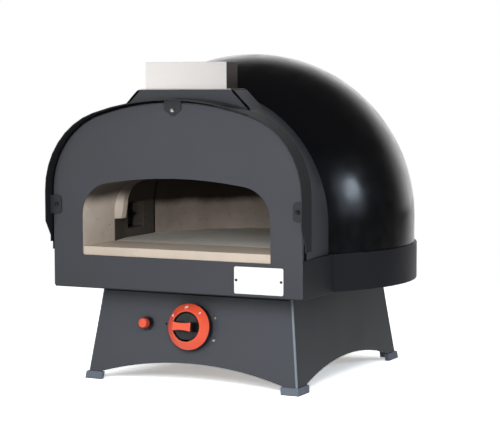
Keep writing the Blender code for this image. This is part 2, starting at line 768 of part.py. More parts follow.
def make_stand_bolts(stand, pan):
    """Four bolts that hold the pan down on the stand's rim."""
    for end, end_name in ((-1, "front"), (1, "rear")):
        for side, side_name in ((-1, "left"), (1, "right")):
            corner = stand_corner(STAND_HEIGHT, side, end, -STAND_BOLT_INSET)
            name = f"stand_bolt_{end_name}_{side_name}"
            under = STAND_HEIGHT - SHEET - GAP
            profile = [
                (0, PAN_FLOOR_Z),
                (STAND_BOLT_RADIUS, PAN_FLOOR_Z),
                (STAND_BOLT_RADIUS, under),
                (STAND_BOLT_HEAD_RADIUS, under),
                (STAND_BOLT_HEAD_RADIUS, under - STAND_BOLT_HEAD),
                (0, under - STAND_BOLT_HEAD),
            ]
            place(name, turned(name, profile, TINY_STEPS), ZINC, OVEN, (corner.x, corner.y, 0))
            top = PAN_FLOOR_Z + OVERRUN
            hole = rod(f"{name}_hole", STAND_BOLT_RADIUS + GAP, under - OVERRUN, top, TINY_STEPS)
            cutter = guide(f"{name}_hole", hole, OVEN, (corner.x, corner.y, 0))
            boolean(stand, cutter)
            boolean(pan, cutter)


# Pan and steel shells

def make_pan():
    """A pressed tray: floor, upright wall and a narrow rim turned in, open at the front above the sill."""
    pan = place("pan", slab("pan", [pan_outline()], PAN_BOTTOM_Z, PAN_TOP_Z, "Z"), BLACK_COAT, OVEN)
    inside = slab("pan_inside", [pan_outline(SHEET)], PAN_FLOOR_Z, PAN_TOP_Z - SHEET, "Z")
    boolean(pan, guide("pan_inside", inside, OVEN))
    low = PAN_TOP_Z - SHEET - OVERRUN
    mouth = slab("pan_mouth", [pan_outline(PAN_FLANGE)], low, PAN_TOP_Z + OVERRUN, "Z")
    boolean(pan, guide("pan_mouth", mouth, OVEN))
    half_width = PANEL_HALF_WIDTH - PAN_FLANGE
    low = (-half_width, -SHELL_FRONT - OVERRUN, HEARTH_Z - 2 * GAP)
    high = (half_width, -SHELL_FRONT + 2 * PAN_FLANGE, PAN_TOP_Z + OVERRUN)
    boolean(pan, guide("pan_front_gap", box("pan_front_gap", low, high), OVEN))
    return pan


def dome_profile(radius, low):
    points = [(0, DOME_CENTRE_Z + radius)]
    for i in range(1, DOME_ARC_STEPS + 1):
        angle = math.pi / 2 * (1 - i / DOME_ARC_STEPS)
        points.append((radius * math.cos(angle), DOME_CENTRE_Z + radius * math.sin(angle)))
    return points + [(radius, low)]


def make_dome():
    """A spun hemisphere with a short skirt, sliced upright where the vestibule meets it."""
    outer = dome_profile(DOME_RADIUS, DOME_BOTTOM_Z)
    inner = dome_profile(DOME_RADIUS - SHEET, DOME_BOTTOM_Z)
    dome = place("dome", turned("dome", outer + inner[::-1], DOME_STEPS), DOME_COAT, OVEN)
    reach = DOME_RADIUS + OVERRUN
    low = (-reach, -reach, DOME_BOTTOM_Z - OVERRUN)
    high = (reach, -DOME_CUT_REACH, DOME_CENTRE_Z + reach)
    boolean(dome, guide("dome_slice", box("dome_slice", low, high), OVEN))
    profile = dome_profile(DOME_RADIUS + GAP, DOME_BOTTOM_Z) + [(0, DOME_BOTTOM_Z)]
    solid = turned("dome_clearance", profile, DOME_STEPS)
    return guide("dome_clearance", solid, OVEN)


def vestibule_runs(grow, low, front, rear):
    """The vestibule's two ends: the panel's arch in front, the dome's own slice behind."""
    near = [(PANEL_HALF_WIDTH + grow, -front, low)]
    near += [(x, -front, z) for x, z, _ in panel_arch(grow)]
    near += [(-PANEL_HALF_WIDTH - grow, -front, low)]
    radius = SLICE_RADIUS + grow
    far = [(radius, -rear, low)]
    for _, _, angle in panel_arch():
        far.append((radius * math.cos(angle), -rear, DOME_CENTRE_Z + radius * math.sin(angle)))
    far += [(-radius, -rear, low)]
    return near, far


def make_vestibule():
    near, far = vestibule_runs(0.0, DOME_BOTTOM_Z, SHELL_FRONT, DOME_CUT_REACH + GAP)
    vestibule = place("vestibule", loft("vestibule", near, far, False), BLACK_COAT, OVEN)
    solidify(vestibule, SHEET, 1)
    near, far = vestibule_runs(GAP, DOME_BOTTOM_Z, SHELL_FRONT, DOME_CUT_REACH)
    clearance = guide("vestibule_clearance", loft("vestibule_clearance", near, far, True), OVEN)
    return vestibule, clearance


def make_front_panel():
    outline = doorway(PANEL_BOTTOM_Z + PANEL_CORNER, panel_arch())
    centre = (PANEL_HALF_WIDTH - PANEL_CORNER, PANEL_BOTTOM_Z + PANEL_CORNER)
    right = arc(centre, PANEL_CORNER, -90, 0, CORNER_STEPS)
    left = [(-x, z) for x, z in reversed(right)]
    outline = right[:-1] + outline + left[1:]
    mouth = doorway(HEARTH_Z, mouth_arch())
    mesh = slab("front_panel", [outline, mouth], -PANEL_REACH, -PANEL_REAR, "Y")
    return place("front_panel", mesh, BLACK_COAT, OVEN)


def arched_strip(name, section, end_z):
    """A strip bent round the panel's arch; its section is a loop of (depth, clearance from the panel)."""
    mesh = bpy.data.meshes.new(name)
    work = bmesh.new()
    runs = []
    for depth, clearance in section:
        edge = doorway(end_z, panel_arch(clearance))
        runs.append([work.verts.new((x, depth, z)) for x, z in edge])
    for j, run in enumerate(runs):
        after = runs[(j + 1) % len(runs)]
        for i in range(len(run) - 1):
            work.faces.new((run[i], run[i + 1], after[i + 1], after[i]))
    work.faces.new([run[0] for run in runs])
    work.faces.new([run[-1] for run in runs])
    bmesh.ops.recalc_face_normals(work, faces=work.faces)
    work.to_mesh(mesh)
    work.free()
    return mesh


def make_visor(panel, vestibule_clearance):
    """A rolled band round the arch, turned in behind and tapering back below, with three tabs in front."""
    end_z = PAN_TOP_Z + VISOR_TAIL
    rear = -VISOR_FRONT + VISOR_DEPTH
    section = (
        (-VISOR_FRONT, VISOR_CLEARANCE + SHEET),
        (rear, VISOR_CLEARANCE + SHEET),
        (rear, -VISOR_RETURN),
        (rear - SHEET, -VISOR_RETURN),
        (rear - SHEET, VISOR_CLEARANCE),
        (-VISOR_FRONT, VISOR_CLEARANCE),
    )
    visor = place("visor", arched_strip("visor", section, end_z), BLACK_COAT, OVEN)
    boolean(visor, vestibule_clearance)
    half_width = PANEL_HALF_WIDTH + VISOR_CLEARANCE
    reach = half_width + SHEET + OVERRUN
    lip = -VISOR_FRONT - OVERRUN
    start_z = end_z + VISOR_TAPER_START
    setback = -VISOR_FRONT + VISOR_SETBACK
    taper = [
        (lip, start_z),
        (-VISOR_FRONT, start_z),
        (setback, start_z - VISOR_TAPER),
        (setback, end_z - OVERRUN),
        (lip, end_z - OVERRUN),
    ]
    boolean(visor, guide("visor_taper", slab("visor_taper", [taper], -reach, reach, "X"), OVEN))
    root = half_width + SHEET / 2
    tip = half_width - VISOR_CLEARANCE - SIDE_TAB_REACH
    top_z = PANEL_SPRING_Z - SIDE_TAB_DROP + SIDE_TAB_HEIGHT / 2
    low_z = top_z - SIDE_TAB_HEIGHT
    corner = SIDE_TAB_CORNER
    side_tab = [(root, low_z), (root, top_z)]
    side_tab += arc((tip + corner, top_z - corner), corner, 90, 180, CORNER_STEPS)
    side_tab += arc((tip + corner, low_z + corner), corner, 180, 270, CORNER_STEPS)
    crown_z = PANEL_CROWN_Z + VISOR_CLEARANCE
    tip_z = PANEL_CROWN_Z - TOP_TAB_REACH
    shoulder_z = tip_z + TOP_TAB_REACH / 2
    nose_radius = TOP_TAB_HALF_WIDTH / 2
    nose = arc((0, tip_z + nose_radius), nose_radius, -TOP_TAB_SWEEP, TOP_TAB_SWEEP - 180, CORNER_STEPS)
    top_tab = [(TOP_TAB_HALF_WIDTH, crown_z + SHEET / 2), (TOP_TAB_HALF_WIDTH, shoulder_z)]
    top_tab += nose + [(-TOP_TAB_HALF_WIDTH, shoulder_z), (-TOP_TAB_HALF_WIDTH, crown_z + SHEET / 2)]
    screw_x = tip + TAB_SCREW_INSET
    screw_z = top_z - SIDE_TAB_HEIGHT / 2
    tabs = (
        ("left", [(-x, z) for x, z in side_tab], (-screw_x, screw_z)),
        ("top", top_tab, (0, tip_z + TOP_SCREW_INSET)),
        ("right", side_tab, (screw_x, screw_z)),
    )
    tab_face = PANEL_REACH + GAP + SHEET
    for name, outline, (x, z) in tabs:
        tab = slab(f"visor_tab_{name}", [outline], -tab_face, -tab_face + SHEET, "Y")
        boolean(visor, guide(f"visor_tab_{name}", tab, OVEN), "UNION")
        tip = tab_face - TAB_SCREW_GRIP
        profile = headed(tab_face + GAP, TAB_SCREW_HEAD_RADIUS, TAB_SCREW_HEAD, TAB_SCREW_RADIUS, tip)
        screw = turned(f"tab_screw_{name}", profile, SMALL_STEPS)
        place(f"tab_screw_{name}", screw, ZINC, OVEN, (x, 0, z), ROUND)
        low = PANEL_REAR - OVERRUN
        hole = rod(f"tab_hole_{name}", TAB_SCREW_RADIUS + GAP, low, tab_face + OVERRUN, SMALL_STEPS)
        cutter = guide(f"tab_hole_{name}", hole, OVEN, (x, 0, z), ROUND)
        boolean(visor, cutter)
        boolean(panel, cutter)


def make_nameplate(panel):
    """A bare plate held by two rivets."""
    left = NAMEPLATE_X - NAMEPLATE_WIDTH / 2
    right = NAMEPLATE_X + NAMEPLATE_WIDTH / 2
    middle = PANEL_BOTTOM_Z + NAMEPLATE_LIFT
    bottom = middle - NAMEPLATE_HEIGHT / 2
    top = middle + NAMEPLATE_HEIGHT / 2
    back = PANEL_REACH + GAP
    face = back + NAMEPLATE_THICKNESS
    outline = rounded_rectangle(left, right, bottom, top, NAMEPLATE_CORNER)
    plate = place("nameplate", slab("nameplate", [outline], -face, -back, "Y"), WHITE_PLATE, OVEN)
    for name, x in (("left", left + RIVET_INSET), ("right", right - RIVET_INSET)):
        profile = headed(face + GAP, RIVET_HEAD_RADIUS, RIVET_HEAD, RIVET_RADIUS, PANEL_REAR)
        rivet = turned(f"rivet_{name}", profile, TINY_STEPS)
        place(f"rivet_{name}", rivet, ZINC, OVEN, (x, 0, middle), ROUND)
        low = PANEL_REAR - OVERRUN
        hole = rod(f"rivet_hole_{name}", RIVET_RADIUS + GAP, low, face + OVERRUN, TINY_STEPS)
        cutter = guide(f"rivet_hole_{name}", hole, OVEN, (x, 0, middle), ROUND)
        boolean(plate, cutter)
        boolean(panel, cutter)


# Chimney

def make_chimney(vestibule, vestibule_clearance, dome_clearance):
    rear = CHIMNEY_FRONT - CHIMNEY_TOP_DEPTH
    foot_half_width = CHIMNEY_TOP_HALF_WIDTH + CHIMNEY_FLARE
    foot_z = CHIMNEY_TOP_Z - CHIMNEY_DROP
    outline = [
        (foot_half_width, foot_z),
        (CHIMNEY_TOP_HALF_WIDTH, CHIMNEY_TOP_Z),
        (-CHIMNEY_TOP_HALF_WIDTH, CHIMNEY_TOP_Z),
        (-foot_half_width, foot_z),
    ]
    hood = slab("chimney_base", [outline], -CHIMNEY_FRONT, -rear, "Y")
    base = place("chimney_base", hood, BLACK_COAT, OVEN)
    slant = math.hypot(CHIMNEY_FLARE, CHIMNEY_DROP)
    side_wall = SHEET * slant / CHIMNEY_DROP
    top_inset = side_wall - SHEET * CHIMNEY_FLARE / CHIMNEY_DROP
    reach = OVERRUN * CHIMNEY_FLARE / CHIMNEY_DROP
    hollow = [
        (foot_half_width - side_wall + reach, foot_z - OVERRUN),
        (CHIMNEY_TOP_HALF_WIDTH - top_inset, CHIMNEY_TOP_Z - SHEET),
        (-CHIMNEY_TOP_HALF_WIDTH + top_inset, CHIMNEY_TOP_Z - SHEET),
        (-foot_half_width + side_wall - reach, foot_z - OVERRUN),
    ]
    inside = slab("chimney_inside", [hollow], -CHIMNEY_FRONT + SHEET, -rear - SHEET, "Y")
    boolean(base, guide("chimney_inside", inside, OVEN))
    boolean(base, vestibule_clearance)
    boolean(base, dome_clearance)
    sleeve_front = CHIMNEY_FRONT - SLEEVE_STEP
    sleeve_rear = sleeve_front - SLEEVE_DEPTH
    collar_z = CHIMNEY_TOP_Z + GAP
    outer = rectangle(-SLEEVE_HALF_WIDTH, SLEEVE_HALF_WIDTH, -sleeve_front, -sleeve_rear)
    inset = SLEEVE_HALF_WIDTH - SLEEVE_SHEET
    bore = rectangle(-inset, inset, -sleeve_front + SLEEVE_SHEET, -sleeve_rear - SLEEVE_SHEET)
    top_z = collar_z + SLEEVE_SHEET + SLEEVE_HEIGHT
    sleeve = slab("chimney_sleeve", [outer, bore], CHIMNEY_TOP_Z - SLEEVE_TUCK, top_z, "Z")
    place("chimney_sleeve", sleeve, STAINLESS, OVEN)
    grown = SLEEVE_HALF_WIDTH + GAP
    seat = rectangle(-grown, grown, -sleeve_front - GAP, -sleeve_rear + GAP)
    cutter = slab("sleeve_seat", [seat], CHIMNEY_TOP_Z - OVERRUN, CHIMNEY_TOP_Z + OVERRUN, "Z")
    boolean(base, guide("sleeve_seat", cutter, OVEN))
    half_width = CHIMNEY_TOP_HALF_WIDTH - COLLAR_MARGIN
    rim = rectangle(-half_width, half_width, -CHIMNEY_FRONT + COLLAR_MARGIN / 2, -rear - COLLAR_MARGIN)
    plate = slab("chimney_collar", [rim, seat], collar_z, collar_z + SLEEVE_SHEET, "Z")
    collar = place("chimney_collar", plate, STAINLESS, OVEN)
    boolean(collar, dome_clearance)
    middle = (sleeve_front + sleeve_rear) / 2
    duct_front = middle + DUCT_DEPTH / 2
    duct_rear = middle - DUCT_DEPTH / 2
    duct_top = CHIMNEY_TOP_Z - SLEEVE_TUCK - GAP
    duct_low = MOUTH_CROWN_Z + SURROUND_CROWN - DUCT_SEAT
    outer = rectangle(-DUCT_HALF_WIDTH, DUCT_HALF_WIDTH, -duct_front, -duct_rear)
    bore_half = DUCT_HALF_WIDTH - SLEEVE_SHEET
    bore = rectangle(-bore_half, bore_half, -duct_front + SLEEVE_SHEET, -duct_rear - SLEEVE_SHEET)
    place("flue_duct", slab("flue_duct", [outer, bore], duct_low, duct_top, "Z"), ZINC, OVEN)
    grown = DUCT_HALF_WIDTH + GAP
    seat = rectangle(-grown, grown, -duct_front - GAP, -duct_rear + GAP)
    through = slab("duct_hole", [seat], duct_low, CHIMNEY_TOP_Z, "Z")
    boolean(vestibule, guide("duct_hole", through, OVEN))
    socket = slab("duct_socket", [seat], duct_low - GAP, CHIMNEY_TOP_Z, "Z")
    slot = slab("duct_slot", [bore], MOUTH_CROWN_Z - DUCT_SEAT, CHIMNEY_TOP_Z, "Z")
    return guide("duct_socket", socket, OVEN), guide("duct_slot", slot, OVEN)


# Refractory

def make_refractory(duct_socket, duct_slot, burner_clearance):
    sill_half = MOUTH_HALF_WIDTH - GAP
    board_half = WALL_OUTER + BOARD_MARGIN
    board_top = BOARD_Z + BOARD_THICKNESS
    board_outline = chamber_outline(board_half, SHELL_FRONT - SHEET - GAP)
    board = slab("insulation_board", [board_outline], BOARD_Z, board_top, "Z")
    board = place("insulation_board", board, FIBRE, OVEN)
    sill = rectangle(-sill_half, sill_half, -SHELL_FRONT, -SURROUND_REAR - GAP)
    place("mouth_sill", slab("mouth_sill", [sill], HEARTH_Z, HEARTH_TOP_Z, "Z"), FIRED_TILE, OVEN)
    hearth = chamber_outline(CHAMBER_HALF_WIDTH - GAP, SURROUND_REAR, CHEEK_DEPTH, CHEEK)
    place("hearth_stone", slab("hearth_stone", [hearth], HEARTH_Z, HEARTH_TOP_Z, "Z"), FIRED_TILE, OVEN)
    crown_z = MOUTH_CROWN_Z + SURROUND_CROWN
    outer = arch(WALL_OUTER, MOUTH_SPRING_Z, crown_z, SURROUND_SHOULDER)
    inner = doorway(HEARTH_Z, mouth_arch(GAP))
    outline = doorway(HEARTH_Z, outer) + inner[::-1]
    surround = slab("mouth_surround", [outline], -SHELL_FRONT, -SURROUND_REAR - GAP, "Y")
    surround = place("mouth_surround", surround, CAST_STONE, OVEN)
    boolean(surround, duct_socket)
    boolean(surround, duct_slot)
    seam = -CHAMBER_CENTRE_REACH - GAP
    walls = []
    for side, name in ((-1, "wall_left"), (1, "wall_right")):
        plan = (
            (MOUTH_HALF_WIDTH, -SURROUND_REAR),
            (CHAMBER_HALF_WIDTH, -SURROUND_REAR + CHEEK_DEPTH),
            (CHAMBER_HALF_WIDTH, seam),
            (WALL_OUTER, seam),
            (WALL_OUTER, -SURROUND_REAR),
        )
        outline = [(side * x, y) for x, y in plan]
        wall = place(name, slab(name, [outline], HEARTH_Z, WALL_TOP_Z, "Z"), CAST_STONE, OVEN)
        walls.append(wall)
        if side < 0:
            low = (-WALL_OUTER - OVERRUN, -NOTCH_REACH - NOTCH_HALF_WIDTH, HEARTH_Z + NOTCH_SILL)
            high = (-CHAMBER_HALF_WIDTH + OVERRUN, -NOTCH_REACH + NOTCH_HALF_WIDTH, WALL_TOP_Z + OVERRUN)
            boolean(wall, guide("burner_notch", box("burner_notch", low, high), OVEN))
    centre = (0, -CHAMBER_CENTRE_REACH)
    ring = arc(centre, WALL_OUTER, 0, 180, FINE_STEPS // 2)
    ring += arc(centre, CHAMBER_HALF_WIDTH, 180, 0, FINE_STEPS // 2)
    place("wall_rear", slab("wall_rear", [ring], HEARTH_Z, WALL_TOP_Z, "Z"), CAST_STONE, OVEN)
    vault_z = WALL_TOP_Z + GAP
    make_vault(vault_z)
    make_throat(vault_z, walls)
    boolean(board, burner_clearance)


def ellipse_half(half_width, rise, low):
    """The upper half of an ellipse, from its right end to its left."""
    run = []
    for i in range(VAULT_STEPS // 2 + 1):
        angle = math.tau * i / VAULT_STEPS
        run.append((half_width * math.cos(angle), low + rise * math.sin(angle)))
    return run


def make_vault(vault_z):
    """Two castings that meet over the walls' joint: a barrel in front and a half dome behind."""
    inner = (CHAMBER_HALF_WIDTH, VAULT_RISE)
    outer = (WALL_OUTER, VAULT_RISE + BLOCK)
    crescent = ellipse_half(*outer, vault_z) + ellipse_half(*inner, vault_z)[::-1]
    mesh = slab("vault_front", [crescent], -SURROUND_REAR, -CHAMBER_CENTRE_REACH - GAP, "Y")
    place("vault_front", mesh, CAST_STONE, OVEN)
    mesh = barrel_dome("vault_rear", outer, inner, CHAMBER_CENTRE_REACH, vault_z)
    place("vault_rear", mesh, CAST_STONE, OVEN)
    inner = tuple(size + GAP for size in outer)
    outer = tuple(size + BLANKET for size in inner)
    mesh = barrel_dome("insulation_blanket", outer, inner, BLANKET_REACH, vault_z)
    place("insulation_blanket", mesh, FIBRE, OVEN)


def make_throat(vault_z, walls):
    """The arch where the mouth meets the vault: its feet are keyed into the walls, its front lip flares."""
    foot_z = HEARTH_Z + THROAT_FOOT
    lip = throat_arch()
    slope = THROAT_LEAN / (lip[0][1] - foot_z)

    def opening(bottom_z):
        foot = lip[0][0] + slope * (lip[0][1] - bottom_z)
        return [(foot, bottom_z)] + [(x, z) for x, z, _ in lip] + [(-foot, bottom_z)]

    outline = [(WALL_OUTER, foot_z), (WALL_OUTER, WALL_TOP_Z)]
    outline += ellipse_half(CHAMBER_HALF_WIDTH - GAP, VAULT_RISE - GAP, vault_z)
    outline += [(-WALL_OUTER, WALL_TOP_Z), (-WALL_OUTER, foot_z)]
    outline += opening(foot_z)[::-1]
    mesh = slab("throat_arch", [outline], -SURROUND_REAR, -SURROUND_REAR + THROAT, "Y")
    throat = place("throat_arch", mesh, CAST_STONE, OVEN)
    narrow = opening(foot_z - OVERRUN)
    wide = doorway(foot_z - OVERRUN, mouth_arch(GAP))
    share = OVERRUN / THROAT_LIP
    front = -SURROUND_REAR - OVERRUN
    near = [(x + (x - u) * share, front, z + (z - w) * share) for (x, z), (u, w) in zip(wide, narrow)]
    far = [(x, -SURROUND_REAR + THROAT_LIP, z) for x, z in narrow]
    boolean(throat, guide("throat_flare", loft("throat_flare", near, far, True), OVEN))
    reach = WALL_OUTER + OVERRUN
    low = (-reach, front, foot_z - GAP)
    high = (reach, -SURROUND_REAR + THROAT + GAP, WALL_TOP_Z + OVERRUN)
    key = guide("throat_key", box("throat_key", low, high), OVEN)
    for wall in walls:
        boolean(wall, key)


# Burner

def burner_run(start_z, tip_extra):
    """Up through the pan, out under the wall, up beside it and in through its notch."""
    outside = WALL_OUTER + BURNER_OFFSET
    lift_z = HEARTH_Z + BURNER_LIFT
    cross_z = BOARD_Z + BURNER_CROSSING
    corners = (
        (-BURNER_RISE_X, -NOTCH_REACH, start_z),
        (-BURNER_RISE_X, -NOTCH_REACH, cross_z),
        (-outside, -NOTCH_REACH, cross_z),
        (-outside, -NOTCH_REACH, lift_z),
        (-WALL_OUTER + BURNER_TIP + tip_extra, -NOTCH_REACH, lift_z),
    )
    return bent(corners, BURNER_BEND)


def make_burner(pan):
    start_z = PAN_BOTTOM_Z - BURNER_DROP
    tube = place("burner_tube", pipe_mesh("burner_tube", burner_run(start_z, 0.0), BURNER_RADIUS), ZINC, OVEN)
    bore = pipe_mesh("burner_bore", burner_run(start_z + SHEET, OVERRUN), BURNER_RADIUS - BURNER_SHEET)
    boolean(tube, guide("burner_bore", bore, OVEN))
    room = pipe_mesh("burner_room", burner_run(start_z - OVERRUN, OVERRUN), BURNER_RADIUS + 2 * GAP)
    clearance = guide("burner_room", room, OVEN)
    boolean(pan, clearance)
    lift_z = HEARTH_Z + BURNER_LIFT
    left = -WALL_OUTER - GAP - SHEET
    outline = rectangle(
        -NOTCH_REACH - BRACKET_HALF_WIDTH,
        -NOTCH_REACH + BRACKET_HALF_WIDTH,
        lift_z - BRACKET_HALF_HEIGHT,
        min(lift_z + BRACKET_HALF_HEIGHT, WALL_TOP_Z),
    )
    bracket = place("burner_bracket", slab("burner_bracket", [outline], left, left + SHEET, "X"), ZINC, OVEN)
    along_x = (0, math.pi / 2, 0)
    here = (0, -NOTCH_REACH, lift_z)
    hole = rod("burner_hole", BURNER_RADIUS + 2 * GAP, left - OVERRUN, left + SHEET + OVERRUN)
    boolean(bracket, guide("burner_hole", hole, OVEN, here, along_x))
    probes = (
        ("spark_electrode", -PROBE_SPACING, ELECTRODE_RADIUS, CERAMIC),
        ("thermocouple", PROBE_SPACING, THERMOCOUPLE_RADIUS, BRASS),
    )
    for name, offset, radius, material in probes:
        length_low = left - PROBE_TAIL
        length_high = -WALL_OUTER + BURNER_TIP
        here = (0, -NOTCH_REACH + offset, lift_z)
        place(name, rod(name, radius, length_low, length_high, TINY_STEPS), material, OVEN, here, along_x)
        hole = rod(f"{name}_hole", radius + GAP, left - OVERRUN, left + SHEET + OVERRUN, TINY_STEPS)
        boolean(bracket, guide(f"{name}_hole", hole, OVEN, here, along_x))
    top_z = start_z - GAP
    profile = [
        (0, top_z),
        (INJECTOR_RADIUS, top_z),
        (INJECTOR_RADIUS, top_z - INJECTOR_HEIGHT),
        (0, top_z - INJECTOR_HEIGHT),
    ]
    here = (-BURNER_RISE_X, -NOTCH_REACH, 0)
    place("injector_holder", turned("injector_holder", profile, HEXAGON), BRASS, OVEN, here)
    return clearance, Vector((-BURNER_RISE_X, -NOTCH_REACH, top_z - INJECTOR_HEIGHT - GAP))


# Controls

def face_lean(front):
    if front:
        return math.atan((STAND_FOOT_FRONT - STAND_TOP_FRONT) / STAND_HEIGHT)
    return math.atan((STAND_FOOT_REAR - STAND_TOP_REAR) / STAND_HEIGHT)


def control_frame():
    """A frame on the stand's front wall: -Y points straight out of the wall."""
    wall = stand_corner(CONTROL_HEIGHT, 1, -1)
    return frame_at("control_frame", OVEN, (0, wall.y, CONTROL_HEIGHT), (-face_lean(True), 0, 0))


def grip_outline(shrink=0.0):
    """A bar with hollowed flanks, seen along the knob's axis."""
    half_length = GRIP_HALF_LENGTH - shrink
    end = GRIP_HALF_WIDTH - shrink
    waist = GRIP_WAIST - shrink
    flank = []
    for i in range(GRIP_STEPS + 1):
        share = 2 * i / GRIP_STEPS - 1
        flank.append((half_length * share, waist + (end - waist) * share**2))
    return [(-x, y) for x, y in flank] + [(x, -y) for x, y in flank]


def make_knob(control, stand):
    """Skirt, conical scale ring, dished face and raised grip, on a spindle that runs into the valve."""
    knob = frame_at("knob_axis", control)
    base = KNOB_STANDOFF
    shoulder = base + KNOB_BASE_DEPTH
    top = shoulder + KNOB_CONE_DEPTH
    inner_base = KNOB_RING_RADIUS - KNOB_RING_WALL
    inner_top = KNOB_FACE_RADIUS - KNOB_RING_WALL
    profile = [
        (0, top - KNOB_DISH),
        (inner_top - KNOB_DISH, top - KNOB_DISH),
        (inner_top - KNOB_DISH / 2, top),
        (inner_top, top),
        (inner_base, shoulder),
        (KNOB_BASE_RADIUS - KNOB_EDGE, shoulder),
        (KNOB_BASE_RADIUS, shoulder - KNOB_EDGE),
        (KNOB_BASE_RADIUS, base),
        (0, base),
    ]
    body = place("knob_body", turned("knob_body", profile, FINE_STEPS), BLACK_PLASTIC, knob, (0, 0, 0), ROUND)
    grip = slab("knob_grip", [grip_outline()], shoulder, top + GRIP_DEPTH, "Z")
    boolean(body, guide("knob_grip", grip, knob, (0, 0, 0), ROUND), "UNION")
    cap_outline = [grip_outline(GAP + KNOB_EDGE)]
    cap_low = top + GRIP_DEPTH - GRIP_CAP / 2
    cap = slab("knob_grip_cap", cap_outline, cap_low, cap_low + GRIP_CAP, "Z")
    place("knob_grip_cap", cap, RED_PLASTIC, knob, (0, 0, 0), ROUND)
    seat = slab("grip_cap_seat", [grip_outline(KNOB_EDGE)], cap_low - GAP, cap_low + 2 * GRIP_CAP, "Z")
    boolean(body, guide("grip_cap_seat", seat, knob, (0, 0, 0), ROUND))
    ring_profile = [
        (inner_top + GAP, top),
        (KNOB_FACE_RADIUS, top),
        (KNOB_RING_RADIUS, shoulder + GAP + KNOB_EDGE),
        (KNOB_RING_RADIUS, shoulder + GAP),
        (inner_base + GAP, shoulder + GAP),
    ]
    ring = turned("knob_ring", ring_profile, FINE_STEPS, ring=True)
    place("knob_ring", ring, RED_PLASTIC, knob, (0, 0, 0), ROUND)
    socket_end = base + SPINDLE_SOCKET
    socket = rod("spindle_socket", SPINDLE_RADIUS + GAP, base - OVERRUN, socket_end + GAP, SMALL_STEPS)
    boolean(body, guide("spindle_socket", socket, knob, (0, 0, 0), ROUND))
    spindle = rod("knob_spindle", SPINDLE_RADIUS, -SPINDLE_REACH, socket_end, SMALL_STEPS)
    place("knob_spindle", spindle, ZINC, knob, (0, 0, 0), ROUND)
    hole = rod("spindle_hole", SPINDLE_HOLE, -OVERRUN - SHEET, OVERRUN, SMALL_STEPS)
    boolean(stand, guide("spindle_hole", hole, control, (0, 0, 0), ROUND))


def make_valve(control, stand):
    """A brass body on a bracket behind the wall, held by two screws, with its plug inside."""
    bracket_face = -SHEET - GAP
    bracket_back = bracket_face - BRACKET_SHEET
    half_height = VALVE_SCREW_SPACING / 2 + VALVE_BRACKET_MARGIN
    right = VALVE_SCREW_OFFSET + VALVE_BRACKET_MARGIN
    outline = rectangle(-VALVE_WIDTH / 2, right, -half_height, half_height)
    bracket = slab("valve_bracket", [outline], bracket_back, bracket_face, "Z")
    bracket = place("valve_bracket", bracket, ZINC, control, (0, 0, 0), ROUND)
    neck = rod("valve_neck_hole", VALVE_NECK_RADIUS + GAP, bracket_back - OVERRUN, bracket_face + OVERRUN)
    boolean(bracket, guide("valve_neck_hole", neck, control, (0, 0, 0), ROUND))
    body_face = bracket_back - GAP
    body_back = body_face - VALVE_DEPTH
    half = VALVE_WIDTH / 2
    low = (-half, -VALVE_HEIGHT / 2, body_back)
    high = (half, VALVE_HEIGHT / 2, body_face)
    body = place("valve_body", box("valve_body", low, high), BRASS, control, (0, 0, 0), ROUND)
    neck = rod("valve_neck", VALVE_NECK_RADIUS, body_face - OVERRUN, bracket_face)
    boolean(body, guide("valve_neck", neck, control, (0, 0, 0), ROUND), "UNION")
    plug_front = body_face - OVERRUN
    plug_back = plug_front - PLUG_LENGTH
    bore = rod("plug_bore", PLUG_RADIUS + PLUG_CLEARANCE, plug_back - GAP, plug_front + GAP)
    boolean(body, guide("plug_bore", bore, control, (0, 0, 0), ROUND))
    low = plug_front - OVERRUN
    way_in = rod("spindle_bore", SPINDLE_RADIUS + 2 * PLUG_CLEARANCE, low, OVERRUN, SMALL_STEPS)
    boolean(body, guide("spindle_bore", way_in, control, (0, 0, 0), ROUND))
    plug_axis = frame_at("plug_axis", control)
    plug = rod("valve_plug", PLUG_RADIUS, plug_back, plug_front)
    plug = place("valve_plug", plug, BRASS, plug_axis, (0, 0, 0), ROUND)
    depth = -SPINDLE_REACH - KNOB_TRAVEL - 2 * GAP
    socket = rod("plug_socket", SPINDLE_RADIUS + GAP, depth, plug_front + OVERRUN, SMALL_STEPS)
    boolean(plug, guide("plug_socket", socket, control, (0, 0, 0), ROUND))
    for name, up in (("upper", VALVE_SCREW_SPACING / 2), ("lower", -VALVE_SCREW_SPACING / 2)):
        here = (VALVE_SCREW_OFFSET, 0, up)
        profile = headed(GAP, VALVE_SCREW_HEAD_RADIUS, VALVE_SCREW_HEAD, VALVE_SCREW_RADIUS, bracket_back)
        piece = f"valve_screw_{name}"
        place(piece, turned(piece, profile, SMALL_STEPS), STAINLESS, control, here, ROUND)
        hole = rod(f"{piece}_hole", VALVE_SCREW_RADIUS + GAP, bracket_back - OVERRUN, OVERRUN, SMALL_STEPS)
        cutter = guide(f"{piece}_hole", hole, control, here, ROUND)
        boolean(stand, cutter)
        boolean(bracket, cutter)
    return body_back


